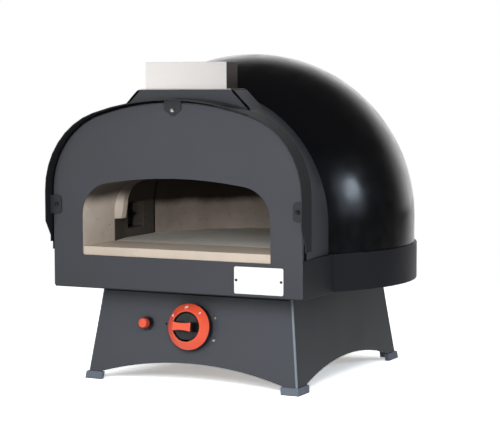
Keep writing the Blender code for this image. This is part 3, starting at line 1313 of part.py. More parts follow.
def make_igniter(control, stand):
    """A push-button spark igniter: collar through the wall, nut and housing behind, button sliding in it."""
    here = (-IGNITER_X, 0, IGNITER_LIFT)
    neck_end = GAP + IGNITER_FLANGE + IGNITER_NECK
    bore = BUTTON_RADIUS + BUTTON_CLEARANCE
    thread_end = -IGNITER_THREAD
    profile = [
        (bore, neck_end),
        (IGNITER_NECK_RADIUS, neck_end),
        (IGNITER_NECK_RADIUS, GAP + IGNITER_FLANGE),
        (IGNITER_FLANGE_RADIUS, GAP + IGNITER_FLANGE),
        (IGNITER_FLANGE_RADIUS, GAP),
        (IGNITER_NECK_RADIUS, GAP),
        (IGNITER_NECK_RADIUS, thread_end),
        (bore, thread_end),
    ]
    collar = turned("igniter_collar", profile, COARSE_STEPS, ring=True)
    place("igniter_collar", collar, BLACK_PLASTIC, control, here, ROUND)
    nut_face = -SHEET - GAP
    ring = nut("igniter_nut", IGNITER_NUT_RADIUS, IGNITER_NECK_RADIUS + GAP, nut_face - IGNITER_NUT, nut_face)
    place("igniter_nut", ring, ZINC, control, here, ROUND)
    housing_face = thread_end - GAP
    housing = rod("igniter_housing", IGNITER_HOUSING_RADIUS, housing_face - IGNITER_HOUSING, housing_face)
    place("igniter_housing", housing, BLACK_PLASTIC, control, here, ROUND)
    button_axis = frame_at("button_axis", control, here)
    face = neck_end + BUTTON_PROUD
    back = thread_end + BUTTON_TRAVEL + GAP
    edge = face - BUTTON_DOME
    profile = [(BUTTON_RADIUS * across, edge + BUTTON_DOME * up) for across, up in HEAD_SHARES]
    profile += [(BUTTON_RADIUS, back), (0, back)]
    button = turned("igniter_button", profile, COARSE_STEPS)
    place("igniter_button", button, RED_PLASTIC, button_axis, (0, 0, 0), ROUND)
    hole = rod("igniter_hole", IGNITER_NECK_RADIUS + GAP, -OVERRUN - SHEET, OVERRUN)
    boolean(stand, guide("igniter_hole", hole, control, here, ROUND))


# Gas supply

def make_inlet(stand):
    """A barbed hose tail through the stand's rear wall, with its nut inside."""
    wall = stand_corner(INLET_HEIGHT, 1, 1)
    inlet = frame_at("inlet_frame", OVEN, (INLET_X, wall.y, INLET_HEIGHT), (face_lean(False), 0, 0))
    backwards = (-math.pi / 2, 0, 0)
    flange_end = GAP + INLET_FLANGE
    step = INLET_TAIL / (INLET_BARBS + 1)
    profile = [(0, flange_end + INLET_TAIL)]
    for i in range(INLET_BARBS):
        top = flange_end + INLET_TAIL - i * step
        profile.append((INLET_TAIL_RADIUS - INLET_BARB, top))
        profile.append((INLET_TAIL_RADIUS, top - step))
    profile += [
        (INLET_TAIL_RADIUS - INLET_BARB, flange_end + step - INLET_BARB),
        (INLET_TAIL_RADIUS - INLET_BARB, flange_end),
        (INLET_FLANGE_RADIUS, flange_end),
        (INLET_FLANGE_RADIUS, GAP),
        (INLET_THREAD_RADIUS, GAP),
        (INLET_THREAD_RADIUS, -INLET_THREAD),
        (0, -INLET_THREAD),
    ]
    place("gas_inlet", turned("gas_inlet", profile, SMALL_STEPS), BRASS, inlet, (0, 0, 0), backwards)
    nut_face = -SHEET - GAP
    ring = nut("inlet_nut", INLET_NUT_RADIUS, INLET_THREAD_RADIUS + GAP, nut_face - INLET_NUT, nut_face)
    place("inlet_nut", ring, BRASS, inlet, (0, 0, 0), backwards)
    hole = rod("inlet_hole", INLET_THREAD_RADIUS + GAP, -OVERRUN - SHEET, OVERRUN, SMALL_STEPS)
    boolean(stand, guide("inlet_hole", hole, inlet, (0, 0, 0), backwards))
    return inlet


def make_pipes(control, inlet, valve_back, injector_foot):
    """One pipe from the inlet to the valve, and one from the valve to the burner's jet."""
    bpy.context.view_layer.update()
    to_oven = OVEN.matrix_world.inverted()
    from_control = to_oven @ control.matrix_world
    from_inlet = to_oven @ inlet.matrix_world
    inlet_end = from_inlet @ Vector((0, -INLET_THREAD - GAP, 0))
    inlet_way = from_inlet @ Vector((0, -INLET_THREAD - PIPE_BOW, 0))
    depth = -valve_back + GAP
    quarter = VALVE_WIDTH / 4
    supply_end = from_control @ Vector((quarter, depth, 0))
    supply_way = from_control @ Vector((quarter, depth + PIPE_BOW, 0))
    supply = bent((inlet_end, inlet_way, supply_way, supply_end), PIPE_BEND / 2)
    place("supply_pipe", pipe_curve("supply_pipe", supply, PIPE_RADIUS), BRASS, OVEN)
    feed_end = from_control @ Vector((-quarter, depth, 0))
    feed_way = from_control @ Vector((-quarter, depth + PIPE_BOW, 0))
    under = injector_foot - Vector((0, 0, PIPE_BOW))
    feed = bent((feed_end, feed_way, under, injector_foot), PIPE_BEND / 2)
    place("burner_feed_pipe", pipe_curve("burner_feed_pipe", feed, PIPE_RADIUS), BRASS, OVEN)


def build():
    stand = make_stand()
    make_feet()
    pan = make_pan()
    make_stand_bolts(stand, pan)
    dome_clearance = make_dome()
    vestibule, vestibule_clearance = make_vestibule()
    panel = make_front_panel()
    make_visor(panel, vestibule_clearance)
    make_nameplate(panel)
    duct_socket, duct_slot = make_chimney(vestibule, vestibule_clearance, dome_clearance)
    burner_clearance, injector_foot = make_burner(pan)
    make_refractory(duct_socket, duct_slot, burner_clearance)
    control = control_frame()
    make_knob(control, stand)
    valve_back = make_valve(control, stand)
    make_igniter(control, stand)
    inlet = make_inlet(stand)
    make_pipes(control, inlet, valve_back, injector_foot)
    bpy.context.view_layer.update()


build()
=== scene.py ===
# Looks of the portable gas pizza oven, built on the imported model.
import math

import bmesh
import bpy
from mathutils import Matrix, Vector


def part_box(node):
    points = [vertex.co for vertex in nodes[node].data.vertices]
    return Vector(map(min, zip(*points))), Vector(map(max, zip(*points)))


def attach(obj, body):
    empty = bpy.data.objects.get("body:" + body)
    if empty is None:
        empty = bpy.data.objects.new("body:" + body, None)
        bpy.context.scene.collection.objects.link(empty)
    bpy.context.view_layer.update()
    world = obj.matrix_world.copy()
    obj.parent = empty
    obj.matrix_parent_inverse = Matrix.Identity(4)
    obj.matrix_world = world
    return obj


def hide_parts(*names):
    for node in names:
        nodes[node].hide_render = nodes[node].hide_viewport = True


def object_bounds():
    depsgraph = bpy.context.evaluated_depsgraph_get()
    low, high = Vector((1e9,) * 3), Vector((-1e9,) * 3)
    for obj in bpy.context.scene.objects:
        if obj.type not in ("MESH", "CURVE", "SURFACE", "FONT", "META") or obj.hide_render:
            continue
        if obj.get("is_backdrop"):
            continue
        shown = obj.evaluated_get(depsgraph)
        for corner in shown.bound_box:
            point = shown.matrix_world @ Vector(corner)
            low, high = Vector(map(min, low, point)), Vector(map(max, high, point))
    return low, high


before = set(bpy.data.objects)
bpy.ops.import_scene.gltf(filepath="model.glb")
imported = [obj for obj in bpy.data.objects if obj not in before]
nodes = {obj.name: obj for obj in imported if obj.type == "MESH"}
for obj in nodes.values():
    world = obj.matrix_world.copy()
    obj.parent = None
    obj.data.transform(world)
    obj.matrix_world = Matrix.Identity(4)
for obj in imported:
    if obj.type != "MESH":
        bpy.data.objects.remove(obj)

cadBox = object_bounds()
print("frame loaded:", len(nodes), "nodes")


def mm(length):
    return length / 1000


def perMm(size):
    return 1000 / size  # texture scale whose features are this many millimetres across


def linearColour(hexText):
    parts = [int(hexText[i:i + 2], 16) / 255 for i in (1, 3, 5)]
    return tuple(p / 12.92 if p <= 0.04045 else ((p + 0.055) / 1.055) ** 2.4 for p in parts) + (1.0,)


def addNode(tree, kind, inputs=None, **settings):
    # each input is a plain value, or the socket that feeds it
    made = tree.nodes.new("ShaderNode" + kind)
    for name, value in settings.items():
        setattr(made, name, value)
    for socket, given in (inputs or {}).items():
        if isinstance(given, bpy.types.NodeSocket):
            tree.links.new(given, made.inputs[socket])
        else:
            made.inputs[socket].default_value = given
    return made


def noise(tree, spot, sizeMm, detail, roughness=0.5, distortion=0.0):
    inputs = {"Scale": perMm(sizeMm), "Detail": detail, "Roughness": roughness, "Distortion": distortion}
    return addNode(tree, "TexNoise", {**inputs, "Vector": spot}).outputs["Fac"]


def cells(tree, spot, sizeMm, **settings):
    return addNode(tree, "TexVoronoi", {"Scale": perMm(sizeMm), "Vector": spot}, **settings).outputs


def maths(tree, operation, *inputs):
    return addNode(tree, "Math", dict(enumerate(inputs)), operation=operation).outputs["Value"]


def remap(tree, source, before, after=(0.0, 1.0), **settings):
    # takes the source from the span before to the span after, and holds it there
    inputs = {"From Min": before[0], "From Max": before[1], "To Min": after[0], "To Max": after[1]}
    return addNode(tree, "MapRange", {**inputs, "Value": source}, **settings).outputs["Result"]


def blend(tree, share, under, over):
    # share 0 shows the tint under, share 1 the tint over; each is hex text or a socket
    under, over = (linearColour(tint) if isinstance(tint, str) else tint for tint in (under, over))
    return addNode(tree, "Mix", {0: share, 6: under, 7: over}, data_type="RGBA").outputs[2]


def relief(tree, height, strength, depthMm, under=None):
    inputs = {"Strength": strength, "Distance": mm(depthMm), "Height": height}
    if under is not None:
        inputs["Normal"] = under
    return addNode(tree, "Bump", inputs).outputs["Normal"]


noiseSpan = (0.3, 0.7)  # nearly all of a noise's values lie in it
smooth = {"interpolation_type": "SMOOTHSTEP"}


def axes(tree, spot):
    return addNode(tree, "SeparateXYZ", {"Vector": spot}).outputs


def objectNormal(tree):
    return axes(tree, addNode(tree, "TexCoord").outputs["Normal"])


def newFinish(name, look):
    finish = bpy.data.materials.new(name)
    finish.use_nodes = True
    tree = finish.node_tree
    shader = tree.nodes["Principled BSDF"]
    shader.inputs["Base Color"].default_value = linearColour(look["colour"])
    shader.inputs["Metallic"].default_value = look.get("metallic", 0.0)
    shader.inputs["Roughness"].default_value = look.get("roughness", 0.5)
    shader.inputs["Specular IOR Level"].default_value = look.get("specular", 0.5)
    if not look.get("metallic"):
        shader.inputs["IOR"].default_value = look.get("ior", 1.5)
    return finish, tree, shader, addNode(tree, "TexCoord").outputs["Object"]


def wire(tree, shader, **sources):
    sockets = {"tint": "Base Color", "gloss": "Roughness", "normal": "Normal"}
    for kind, source in sources.items():
        tree.links.new(source, shader.inputs[sockets[kind]])


# A grainy moulded or sprayed skin: soft mottle in the colour, fine grain in the height, gloss that
# follows the mottle, a little rub along the edges, and where the look asks for it, painted light:
# faces turned to the front drawn paler, and a painted highlight along folds.
skinLook = {
    "mottleDetail": 4.0, "grainDetail": 2.0, "grainRelief": 0.5, "grainDepthMm": 0.01, "edgeSamples": 6,
    "edgeSpan": (0.985, 0.8), "litFrontSpan": (-0.6, -0.95), "foldHighlightSpan": (0.16, 0.42),
}


def grainySkin(name, ownLook):
    look = {**skinLook, **ownLook}
    finish, tree, shader, spot = newFinish(name, look)
    mottle = noise(tree, spot, look["mottleMm"], look["mottleDetail"])
    grain = noise(tree, spot, look["grainMm"], look["grainDetail"])
    tint = blend(tree, mottle, look["colour"], look["mottle"])
    if "rubAndHighlight" in look:
        # an edge is where a rounded normal turns away from the face's own
        radius = {"Radius": mm(look["rubMm"])}
        rounded = addNode(tree, "Bevel", radius, samples=look["edgeSamples"]).outputs["Normal"]
        own = addNode(tree, "NewGeometry").outputs["Normal"]
        turn = addNode(tree, "VectorMath", {0: rounded, 1: own}, operation="DOT_PRODUCT").outputs["Value"]
        rubAndHighlight = remap(tree, turn, look["edgeSpan"], (0.0, look["rubShare"]))
        tint = blend(tree, rubAndHighlight, tint, look["rubAndHighlight"])
    if "litFrontColour" in look:
        # painted light: faces turned to the front get a paler colour, standing for the front lamps lighting
        # them more than the sides
        litFront = remap(tree, objectNormal(tree)["Y"], look["litFrontSpan"])
        tint = blend(tree, litFront, tint, look["litFrontColour"])
    if "foldHighlightShare" in look:
        # painted highlight along each fold: only a fold between two walls faces partly along X and partly
        # along Y
        facing = objectNormal(tree)
        between = maths(tree, "ABSOLUTE", maths(tree, "MULTIPLY", facing["X"], facing["Y"]))
        foldHighlight = remap(tree, between, look["foldHighlightSpan"], (0.0, look["foldHighlightShare"]), **smooth)
        tint = blend(tree, foldHighlight, tint, look["rubAndHighlight"])
    gloss = remap(tree, mottle, noiseSpan, look["glossSpan"])
    bumps = relief(tree, grain, look["grainRelief"], look["grainDepthMm"])
    wire(tree, shader, tint=tint, gloss=gloss, normal=bumps)
    return finish


# polyester powder coat, sprayed and baked on mild steel: charcoal, satin, with a fine leathery
# grain, which is drawn at 1.6 mm, coarser than real, so that it shows
coatGrain = {"mottleMm": 90, "grainMm": 1.6, "grainDepthMm": 0.05}
powderCoat = grainySkin("satinPowderCoatedSteel", {
    "colour": "#3d3e42", "mottle": "#47484d", **coatGrain,
    "glossSpan": (0.42, 0.5), "specular": 0.32, "rubAndHighlight": "#a7abb0", "rubMm": 0.9, "rubShare": 0.5,
})

# the same coat on the folded stand, drawn darker, with painted light: its front faces paler
# and a painted highlight along each fold
foldedCoat = grainySkin("powderCoatOnFoldedSteel", {
    "colour": "#2d2f33", "mottle": "#34363a", **coatGrain,
    "glossSpan": (0.42, 0.5), "specular": 0.36, "rubAndHighlight": "#c4d0d8", "rubMm": 0.9, "rubShare": 0.5,
    "foldHighlightShare": 0.45, "litFrontColour": "#4e5055",
})

# the same coat drawn darker for the pan and the visor, which the lamps light least: painted shade;
# its front faces paler: painted light
shadedCoat = grainySkin("shadedPowderCoatedSteel", {
    "colour": "#212125", "mottle": "#26262a", **coatGrain,
    "glossSpan": (0.44, 0.52), "specular": 0.18, "rubAndHighlight": "#64666a", "rubMm": 0.8, "rubShare": 0.4,
    "litFrontColour": "#343538",
})

# heat-proof enamel, brushed smooth on rolled sheet: charcoal, half glossy, slow clouds in its sheen
rolledEnamel = grainySkin("semiGlossBlackEnamel", {
    "colour": "#404044", "mottle": "#48484c", "mottleMm": 60, "grainMm": 4.0, "grainDepthMm": 0.03,
    "glossSpan": (0.4, 0.48), "specular": 0.3,
})

# steel screws and rivets, blackened in an oxide bath: dark with an oily edge
blackOxide = grainySkin("blackOxideSteel", {
    "colour": "#111112", "mottle": "#1d1d1e", "mottleMm": 3, "grainMm": 0.6,
    "glossSpan": (0.32, 0.45), "rubAndHighlight": "#55575a", "rubMm": 0.3, "rubShare": 0.3,
})

# nitrile rubber, compression moulded: dull slate grey, a sandblasted mould's grain, paler edges
mouldedRubber = grainySkin("mouldedNitrileRubber", {
    "colour": "#676e78", "mottle": "#7c838f", "mottleMm": 14, "grainMm": 1.2, "grainDepthMm": 0.06,
    "glossSpan": (0.55, 0.68), "rubAndHighlight": "#a6b2bd", "rubMm": 1.4, "rubShare": 0.65,
})

# phenolic, compression moulded and tumbled: deep black with a soft sheen
mouldedPhenolic = grainySkin("mouldedBlackPhenolic", {
    "colour": "#141416", "mottle": "#1b1b1d", "mottleMm": 9, "grainMm": 0.8, "grainDepthMm": 0.02,
    "glossSpan": (0.26, 0.36), "rubAndHighlight": "#3c3c3e", "rubMm": 0.5, "rubShare": 0.35,
})

# nylon, injection moulded in a signal red: even, satin, slightly paler on its edges
mouldedRedNylon = grainySkin("mouldedRedNylon", {
    "colour": "#ff5137", "mottle": "#ff6d4b", "mottleMm": 12, "grainMm": 0.9, "grainDepthMm": 0.02,
    "glossSpan": (0.36, 0.46), "rubAndHighlight": "#f58b78", "rubMm": 0.5, "rubShare": 0.45, "ior": 1.53,
})

# stove enamel on a thin aluminium plate: white, smooth, faintly wavy
stoveEnamel = grainySkin("whiteStoveEnamel", {
    "colour": "#f8f8f7", "mottle": "#f4f4f3", "mottleMm": 20, "grainMm": 5.0, "grainDepthMm": 0.02,
    "glossSpan": (0.24, 0.34), "rubAndHighlight": "#d9d8d4", "rubMm": 0.4, "rubShare": 0.6,
})

# alumina ceramic, extruded and glazed: milky white with a wet gloss
glazedAlumina = grainySkin("glazedAluminaCeramic", {
    "colour": "#ece8dd", "mottle": "#ded9cb", "mottleMm": 6, "grainMm": 2.0, "glossSpan": (0.12, 0.2),
})

# pad-printed inks: flat and slightly chalky
printedWhite = grainySkin("padPrintedWhiteInk", {
    "colour": "#f7f5f1", "mottle": "#eae7e1", "mottleMm": 1.5, "grainMm": 0.5, "glossSpan": (0.5, 0.6),
})
printedBlack = grainySkin("padPrintedBlackInk", {
    "colour": "#040404", "mottle": "#080808", "mottleMm": 1.5, "grainMm": 0.5, "glossSpan": (0.6, 0.7),
    "specular": 0.1,
})

# nickel plate, barrel finished: pale and frosted, so that small heads flash white
nickelPlate = grainySkin("frostedNickelPlate", {
    "colour": "#fafaf8", "mottle": "#f1f1ee", "metallic": 1.0, "mottleMm": 4, "grainMm": 0.5,
    "glossSpan": (0.5, 0.6),
})

# deep black with hardly a gloss, for the beads, cords and strip laid where gaps and overhangs show as shade:
# painted shade
shadeFiller = grainySkin("blackShadeFiller", {
    "colour": "#040404", "mottle": "#080808", "mottleMm": 12, "grainMm": 2.0, "grainDepthMm": 0.05,
    "glossSpan": (0.5, 0.6), "specular": 0.12,
})


# high-temperature enamel sprayed on a spun dome: near black, glossy enough to carry broad soft
# reflections, with orange peel and the faint rings that spinning leaves under the paint
def makeSprayedDome():
    look = {
        "colour": "#060608", "haze": "#0b0b0e", "mottleMm": 30, "glossSpan": (0.18, 0.27), "ior": 1.54,
        "peelMm": 7.0, "peelDepthMm": 0.035, "peelRelief": 0.35, "mottleDetail": 5.0, "mottleRoughness": 0.6,
        "mottleSpan": (0.35, 0.65), "ringMm": 26, "ringDepthMm": 0.05, "ringRelief": 0.12, "ringWander": 0.6,
    }
    waveTurn = 20  # what the wave node multiplies its scale by
    finish, tree, shader, spot = newFinish("sprayedGlossBlackEnamel", look)
    peel = noise(tree, spot, look["peelMm"], 1.0)
    mottle = noise(tree, spot, look["mottleMm"], look["mottleDetail"], roughness=look["mottleRoughness"])
    scale = perMm(look["ringMm"]) / waveTurn
    rings = addNode(
        tree, "TexWave", {"Scale": scale, "Distortion": look["ringWander"], "Detail": 1.0, "Vector": spot},
        wave_type="BANDS", bands_direction="Z",
    )
    tint = blend(tree, mottle, look["colour"], look["haze"])
    gloss = remap(tree, mottle, look["mottleSpan"], look["glossSpan"])
    spun = relief(tree, rings.outputs["Fac"], look["ringRelief"], look["ringDepthMm"])
    bumps = relief(tree, peel, look["peelRelief"], look["peelDepthMm"], spun)
    wire(tree, shader, tint=tint, gloss=gloss, normal=bumps)
    return finish


sprayedDome = makeSprayedDome()


# stainless sheet, belt brushed along X: bright, streaked, with a breath of straw heat tint low
# down, which begins and ends at the heights in heatSpan, in metres, and painted shade on the
# faces turned along X
def makeBrushedStainless():
    look = {
        "colour": "#f1edea", "metallic": 1.0, "lineMm": 0.4, "lineLengthMm": 90, "lineDepthMm": 0.006,
        "lineDetail": 3.0, "lineRelief": 0.3, "glossSpan": (0.36, 0.42), "heatTint": "#ead9cb",
        "heatSpan": (0.462, 0.44), "heatShare": 0.5, "cloudMm": 30, "cloudDetail": 3.0,
        "sideShade": "#6a5d50", "sideShadeSpan": (0.8, 0.98), "sideShadeShare": 0.9,
    }
    finish, tree, shader, spot = newFinish("beltBrushedStainless", look)
    along = perMm(look["lineLengthMm"])
    stretch = addNode(tree, "Mapping", {"Scale": (along, along, perMm(look["lineMm"])), "Vector": spot})
    inputs = {"Scale": 1.0, "Detail": look["lineDetail"], "Vector": stretch.outputs["Vector"]}
    lines = addNode(tree, "TexNoise", inputs).outputs["Fac"]
    cloud = noise(tree, spot, look["cloudMm"], look["cloudDetail"])
    heat = remap(tree, axes(tree, spot)["Z"], look["heatSpan"], (0.0, look["heatShare"]))
    tint = blend(tree, maths(tree, "MULTIPLY", heat, cloud), look["colour"], look["heatTint"])
    # painted shade: faces turned along X, such as the narrow side sheets, are drawn dark brown for the dark
    # room they mirror
    sideways = maths(tree, "ABSOLUTE", objectNormal(tree)["X"])
    sideShaded = remap(tree, sideways, look["sideShadeSpan"], (0.0, look["sideShadeShare"]))
    tint = blend(tree, sideShaded, tint, look["sideShade"])
    gloss = remap(tree, lines, noiseSpan, look["glossSpan"])
    bumps = relief(tree, lines, look["lineRelief"], look["lineDepthMm"])
    wire(tree, shader, tint=tint, gloss=gloss, normal=bumps)
    return finish


brushedStainless = makeBrushedStainless()


# mild steel, hot-dip zinc: pale grey with frosted spangles that catch the light one by one
def makeSpangledZinc():
    look = {
        "colour": "#b6b9bc", "metallic": 1.0, "spangleMm": 7, "shade": "#9b9fa3", "glossSpan": (0.28, 0.5),
    }
    finish, tree, shader, spot = newFinish("spangledZinc", look)
    spangle = cells(tree, spot, look["spangleMm"])["Color"]
    tone = addNode(tree, "SeparateColor", {"Color": spangle}).outputs
    tint = blend(tree, tone["Red"], look["colour"], look["shade"])
    wire(tree, shader, tint=tint, gloss=remap(tree, tone["Green"], (0.0, 1.0), look["glossSpan"]))
    return finish


spangledZinc = makeSpangledZinc()


# brass bar, turned: warm yellow with fine tool marks, dulled in clouds where it has been handled
def makeTurnedBrass():
    look = {
        "colour": "#c9a86a", "metallic": 1.0, "dull": "#9c7f4c", "cloudMm": 11, "cloudDetail": 5.0,
        "toolMm": 0.8, "toolRelief": 0.3, "toolDepthMm": 0.02, "glossSpan": (0.22, 0.42),
    }
    finish, tree, shader, spot = newFinish("turnedBrass", look)
    cloud = noise(tree, spot, look["cloudMm"], look["cloudDetail"])
    tool = noise(tree, spot, look["toolMm"], 1.0)
    tint = blend(tree, cloud, look["colour"], look["dull"])
    gloss = remap(tree, cloud, (0.0, 1.0), look["glossSpan"])
    bumps = relief(tree, tool, look["toolRelief"], look["toolDepthMm"])
    wire(tree, shader, tint=tint, gloss=gloss, normal=bumps)
    return finish


turnedBrass = makeTurnedBrass()


# refractory concrete or fired clay, cast: chalky, sandy, with pinholes from air bubbles, broad
# clouds of damp-looking tone, and where the look asks for it a dark tint from one height to another,
# or painted shade from one distance from the burner's mouth to another, in metres
clayLook = {
    "darkening": "#1c1512", "cloudMm": 70, "sandMm": 2.2, "pinholeMm": 15, "reliefMm": 0.35, "cloudDetail": 6.0,
    "cloudRoughness": 0.6, "sandDetail": 3.0, "sandRoughness": 0.7, "sandRise": 0.5, "pitSpan": (0.16, 0.08),
    "pitShare": 0.4, "speckSpan": (0.6, 0.8), "speckShare": 0.35, "surfaceRelief": 0.6,
}


def makeCastClay(name, ownLook):
    look = {**clayLook, **ownLook}
    finish, tree, shader, spot = newFinish(name, look)
    cloud = noise(tree, spot, look["cloudMm"], look["cloudDetail"], look["cloudRoughness"])
    sand = noise(tree, spot, look["sandMm"], look["sandDetail"], look["sandRoughness"])
    pit = remap(tree, cells(tree, spot, look["pinholeMm"])["Distance"], look["pitSpan"])
    speck = remap(tree, sand, look["speckSpan"], (0.0, look["speckShare"]))
    tint = blend(tree, remap(tree, cloud, noiseSpan), look["colour"], look["cloudColour"])
    tint = blend(tree, speck, tint, look["speck"])
    tint = blend(tree, maths(tree, "MULTIPLY", pit, look["pitShare"]), tint, look["pinhole"])
    if "darkeningSpan" in look:
        level = maths(tree, "MULTIPLY_ADD", cloud, mm(look["wanderMm"]), axes(tree, spot)["Z"])
        darkening = remap(tree, level, look["darkeningSpan"], (0.0, look["darkeningShare"]), **smooth)
        tint = blend(tree, darkening, tint, look["darkening"])
    # painted shade: darker round the burner's mouth, where the lip of the mouth shades the wall
    if "burnerShadeSpan" in look:
        low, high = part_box("burner_tube")
        flame = Vector(((low.x + high.x) / 2, low.y, high.z))
        reach = addNode(tree, "VectorMath", {0: spot, 1: flame}, operation="DISTANCE")
        stray = maths(tree, "MULTIPLY_ADD", cloud, mm(look["wanderMm"]), reach.outputs["Value"])
        burnerShade = remap(tree, stray, look["burnerShadeSpan"], (0.0, look["burnerShadeShare"]), **smooth)
        tint = blend(tree, burnerShade, tint, look["darkening"])
    surface = maths(tree, "SUBTRACT", maths(tree, "MULTIPLY", sand, look["sandRise"]), pit)
    wire(tree, shader, tint=tint, normal=relief(tree, surface, look["surfaceRelief"], look["reliefMm"]))
    return finish


castRefractory = makeCastClay("castRefractoryConcrete", {
    "colour": "#e2d3c2", "cloudColour": "#ccbdae", "speck": "#fffcea", "pinhole": "#7c6f64",
    "roughness": 0.92, "burnerShadeSpan": (0.2, 0.11), "burnerShadeShare": 0.88, "wanderMm": 30,
})  # painted shade: darkened round the burner's mouth, where the lip of the mouth shades the wall
mouthRefractory = makeCastClay("mouthRefractoryConcrete", {
    "colour": "#e2d3c3", "cloudColour": "#ccbdb0", "speck": "#fbeedd", "pinhole": "#75685e",
    "roughness": 0.92, "darkeningSpan": (0.278, 0.303), "darkeningShare": 0.93, "wanderMm": 14,
})  # darker from one height up, under the crown of the mouth
sillRefractory = makeCastClay("sillRefractoryConcrete", {
    "colour": "#d4c4b3", "cloudColour": "#c3b4a3", "speck": "#e0d1bf", "pinhole": "#8b8074", "roughness": 0.9,
    "cloudMm": 90, "sandMm": 1.8, "pinholeMm": 30, "pitShare": 0.2, "reliefMm": 0.2,
})  # trowelled smoother, with few pinholes
shadedRefractory = makeCastClay("shadedRefractoryConcrete", {
    "colour": "#bfb0a3", "cloudColour": "#a4968b", "speck": "#e2d4c5", "pinhole": "#7e7166",
    "darkening": "#1a1210", "roughness": 0.94, "cloudMm": 60, "darkeningSpan": (0.262, 0.280), "darkeningShare": 0.94,
    "wanderMm": 14,
})  # a darker copy of the cast concrete, painted shade for the back of the chamber, and darker still from one height up over the top of the walls and the whole vault
firedTile = makeCastClay("firedBiscuitTile", {
    "colour": "#fffff7", "cloudColour": "#f5e6d3", "speck": "#ffffff", "pinhole": "#8d8072",
    "roughness": 0.85, "cloudMm": 60, "sandMm": 1.8, "pinholeMm": 38, "pitShare": 0.2, "reliefMm": 0.18,
})  # painted light: drawn near white, paler than fired tile is, to make up for the shade of the chamber round it


# ceramic fibre blanket, needled: white, matted, with a shallow quilted fuzz
def makeNeedledFibre():
    look = {
        "colour": "#e6e4de", "shade": "#cfccc3", "roughness": 0.98, "fibreMm": 3.5, "fibreDetail": 8.0,
        "fibreWander": 2.0, "fibreRelief": 0.6, "fibreDepthMm": 0.6, "tuftMm": 14, "tuftRelief": 0.5,
        "tuftDepthMm": 1.5,
    }
    finish, tree, shader, spot = newFinish("needledCeramicFibre", look)
    fibre = noise(tree, spot, look["fibreMm"], look["fibreDetail"], distortion=look["fibreWander"])
    tuft = cells(tree, spot, look["tuftMm"], feature="SMOOTH_F1")["Distance"]
    quilt = relief(tree, tuft, look["tuftRelief"], look["tuftDepthMm"])
    fuzz = relief(tree, fibre, look["fibreRelief"], look["fibreDepthMm"], quilt)
    wire(tree, shader, tint=blend(tree, fibre, look["colour"], look["shade"]), normal=fuzz)
    return finish


needledFibre = makeNeedledFibre()
print("finishes made")

# each line: finish, edge radius in millimetres (0 leaves the edges), pieces
dressing = (
    (powderCoat, 0.5, ("front_panel",)),
    (shadedCoat, 0.5, ("pan",)),
    (foldedCoat, 0.5, ("stand",)),
    (shadedCoat, 0.35, ("visor",)),
    (powderCoat, 0.35, ("chimney_base",)),
    (rolledEnamel, 0.0, ("vestibule",)),
    (brushedStainless, 0.3, ("chimney_sleeve", "chimney_collar")),
    (spangledZinc, 0.3, ("flue_duct", "knob_spindle", "valve_bracket")),
    (blackOxide, 0.3, ("burner_tube", "burner_bracket")),
    (spangledZinc, 0.4, ("igniter_nut", "stand_bolt_front_left", "stand_bolt_front_right")),
    (spangledZinc, 0.4, ("stand_bolt_rear_left", "stand_bolt_rear_right")),
    (mouthRefractory, 1.2, ("mouth_surround", "throat_arch")),
    (castRefractory, 1.2, ("wall_left", "wall_right")),
    (shadedRefractory, 1.2, ("wall_rear", "vault_front", "vault_rear")),
    (sillRefractory, 0.9, ("mouth_sill",)),
    (firedTile, 0.9, ("hearth_stone",)),
    (needledFibre, 1.0, ("insulation_board", "insulation_blanket")),
    (turnedBrass, 0.4, ("valve_body", "valve_plug", "injector_holder", "gas_inlet", "inlet_nut")),
    (turnedBrass, 0.2, ("thermocouple", "supply_pipe", "burner_feed_pipe")),
    (mouldedPhenolic, 0.5, ("knob_body", "igniter_collar", "igniter_housing")),
    (mouldedRedNylon, 0.4, ("knob_ring", "knob_grip_cap", "igniter_button")),
    (mouldedRubber, 0.8, ("foot_front_left", "foot_front_right", "foot_rear_left", "foot_rear_right")),
    (stoveEnamel, 0.25, ("nameplate",)),
    (glazedAlumina, 0.3, ("spark_electrode",)),
)


def addModifier(piece, name, kind, **settings):
    made = piece.modifiers.new(name, kind)
    for setting, value in settings.items():
        setattr(made, setting, value)


edgeLook = {"weldMm": 0.01, "flatDegrees": 0.5, "foldDegrees": 34, "segments": 2}


def softenEdges(node, radius):
    # the solids come as triangles, so flat faces are merged before their edges are rounded
    look = edgeLook
    flat, fold = (math.radians(look[key]) for key in ("flatDegrees", "foldDegrees"))
    addModifier(node, "weld", "WELD", merge_threshold=mm(look["weldMm"]))
    addModifier(node, "mergeFlatFaces", "DECIMATE", decimate_type="DISSOLVE", angle_limit=flat)
    addModifier(
        node, "edgeRadius", "BEVEL", width=mm(radius), segments=look["segments"], limit_method="ANGLE",
        angle_limit=fold, use_clamp_overlap=False,
    )
    addModifier(node, "evenShading", "WEIGHTED_NORMAL", keep_sharp=False)


def dress(node, finish):
    node.data.materials.clear()
    node.data.materials.append(finish)
    for face in node.data.polygons:
        face.material_index = 0


for finish, radius, names in dressing:
    for name in names:
        dress(nodes[name], finish)
        if radius:
            softenEdges(nodes[name], radius)
print("packed pieces dressed")


def addPiece(name, mesh, finish, body, smoothDegrees=40):
    piece = bpy.data.objects.new(name, mesh)
    bpy.context.scene.collection.objects.link(piece)
    mesh.materials.clear()
    mesh.materials.append(finish)
    mesh.shade_smooth()
    mesh.set_sharp_from_angle(angle=math.radians(smoothDegrees))
    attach(piece, body)
    return piece


def meshFrom(name, work):
    mesh = bpy.data.meshes.new(name)
    bmesh.ops.recalc_face_normals(work, faces=work.faces)
    work.to_mesh(mesh)
    work.free()
    return mesh


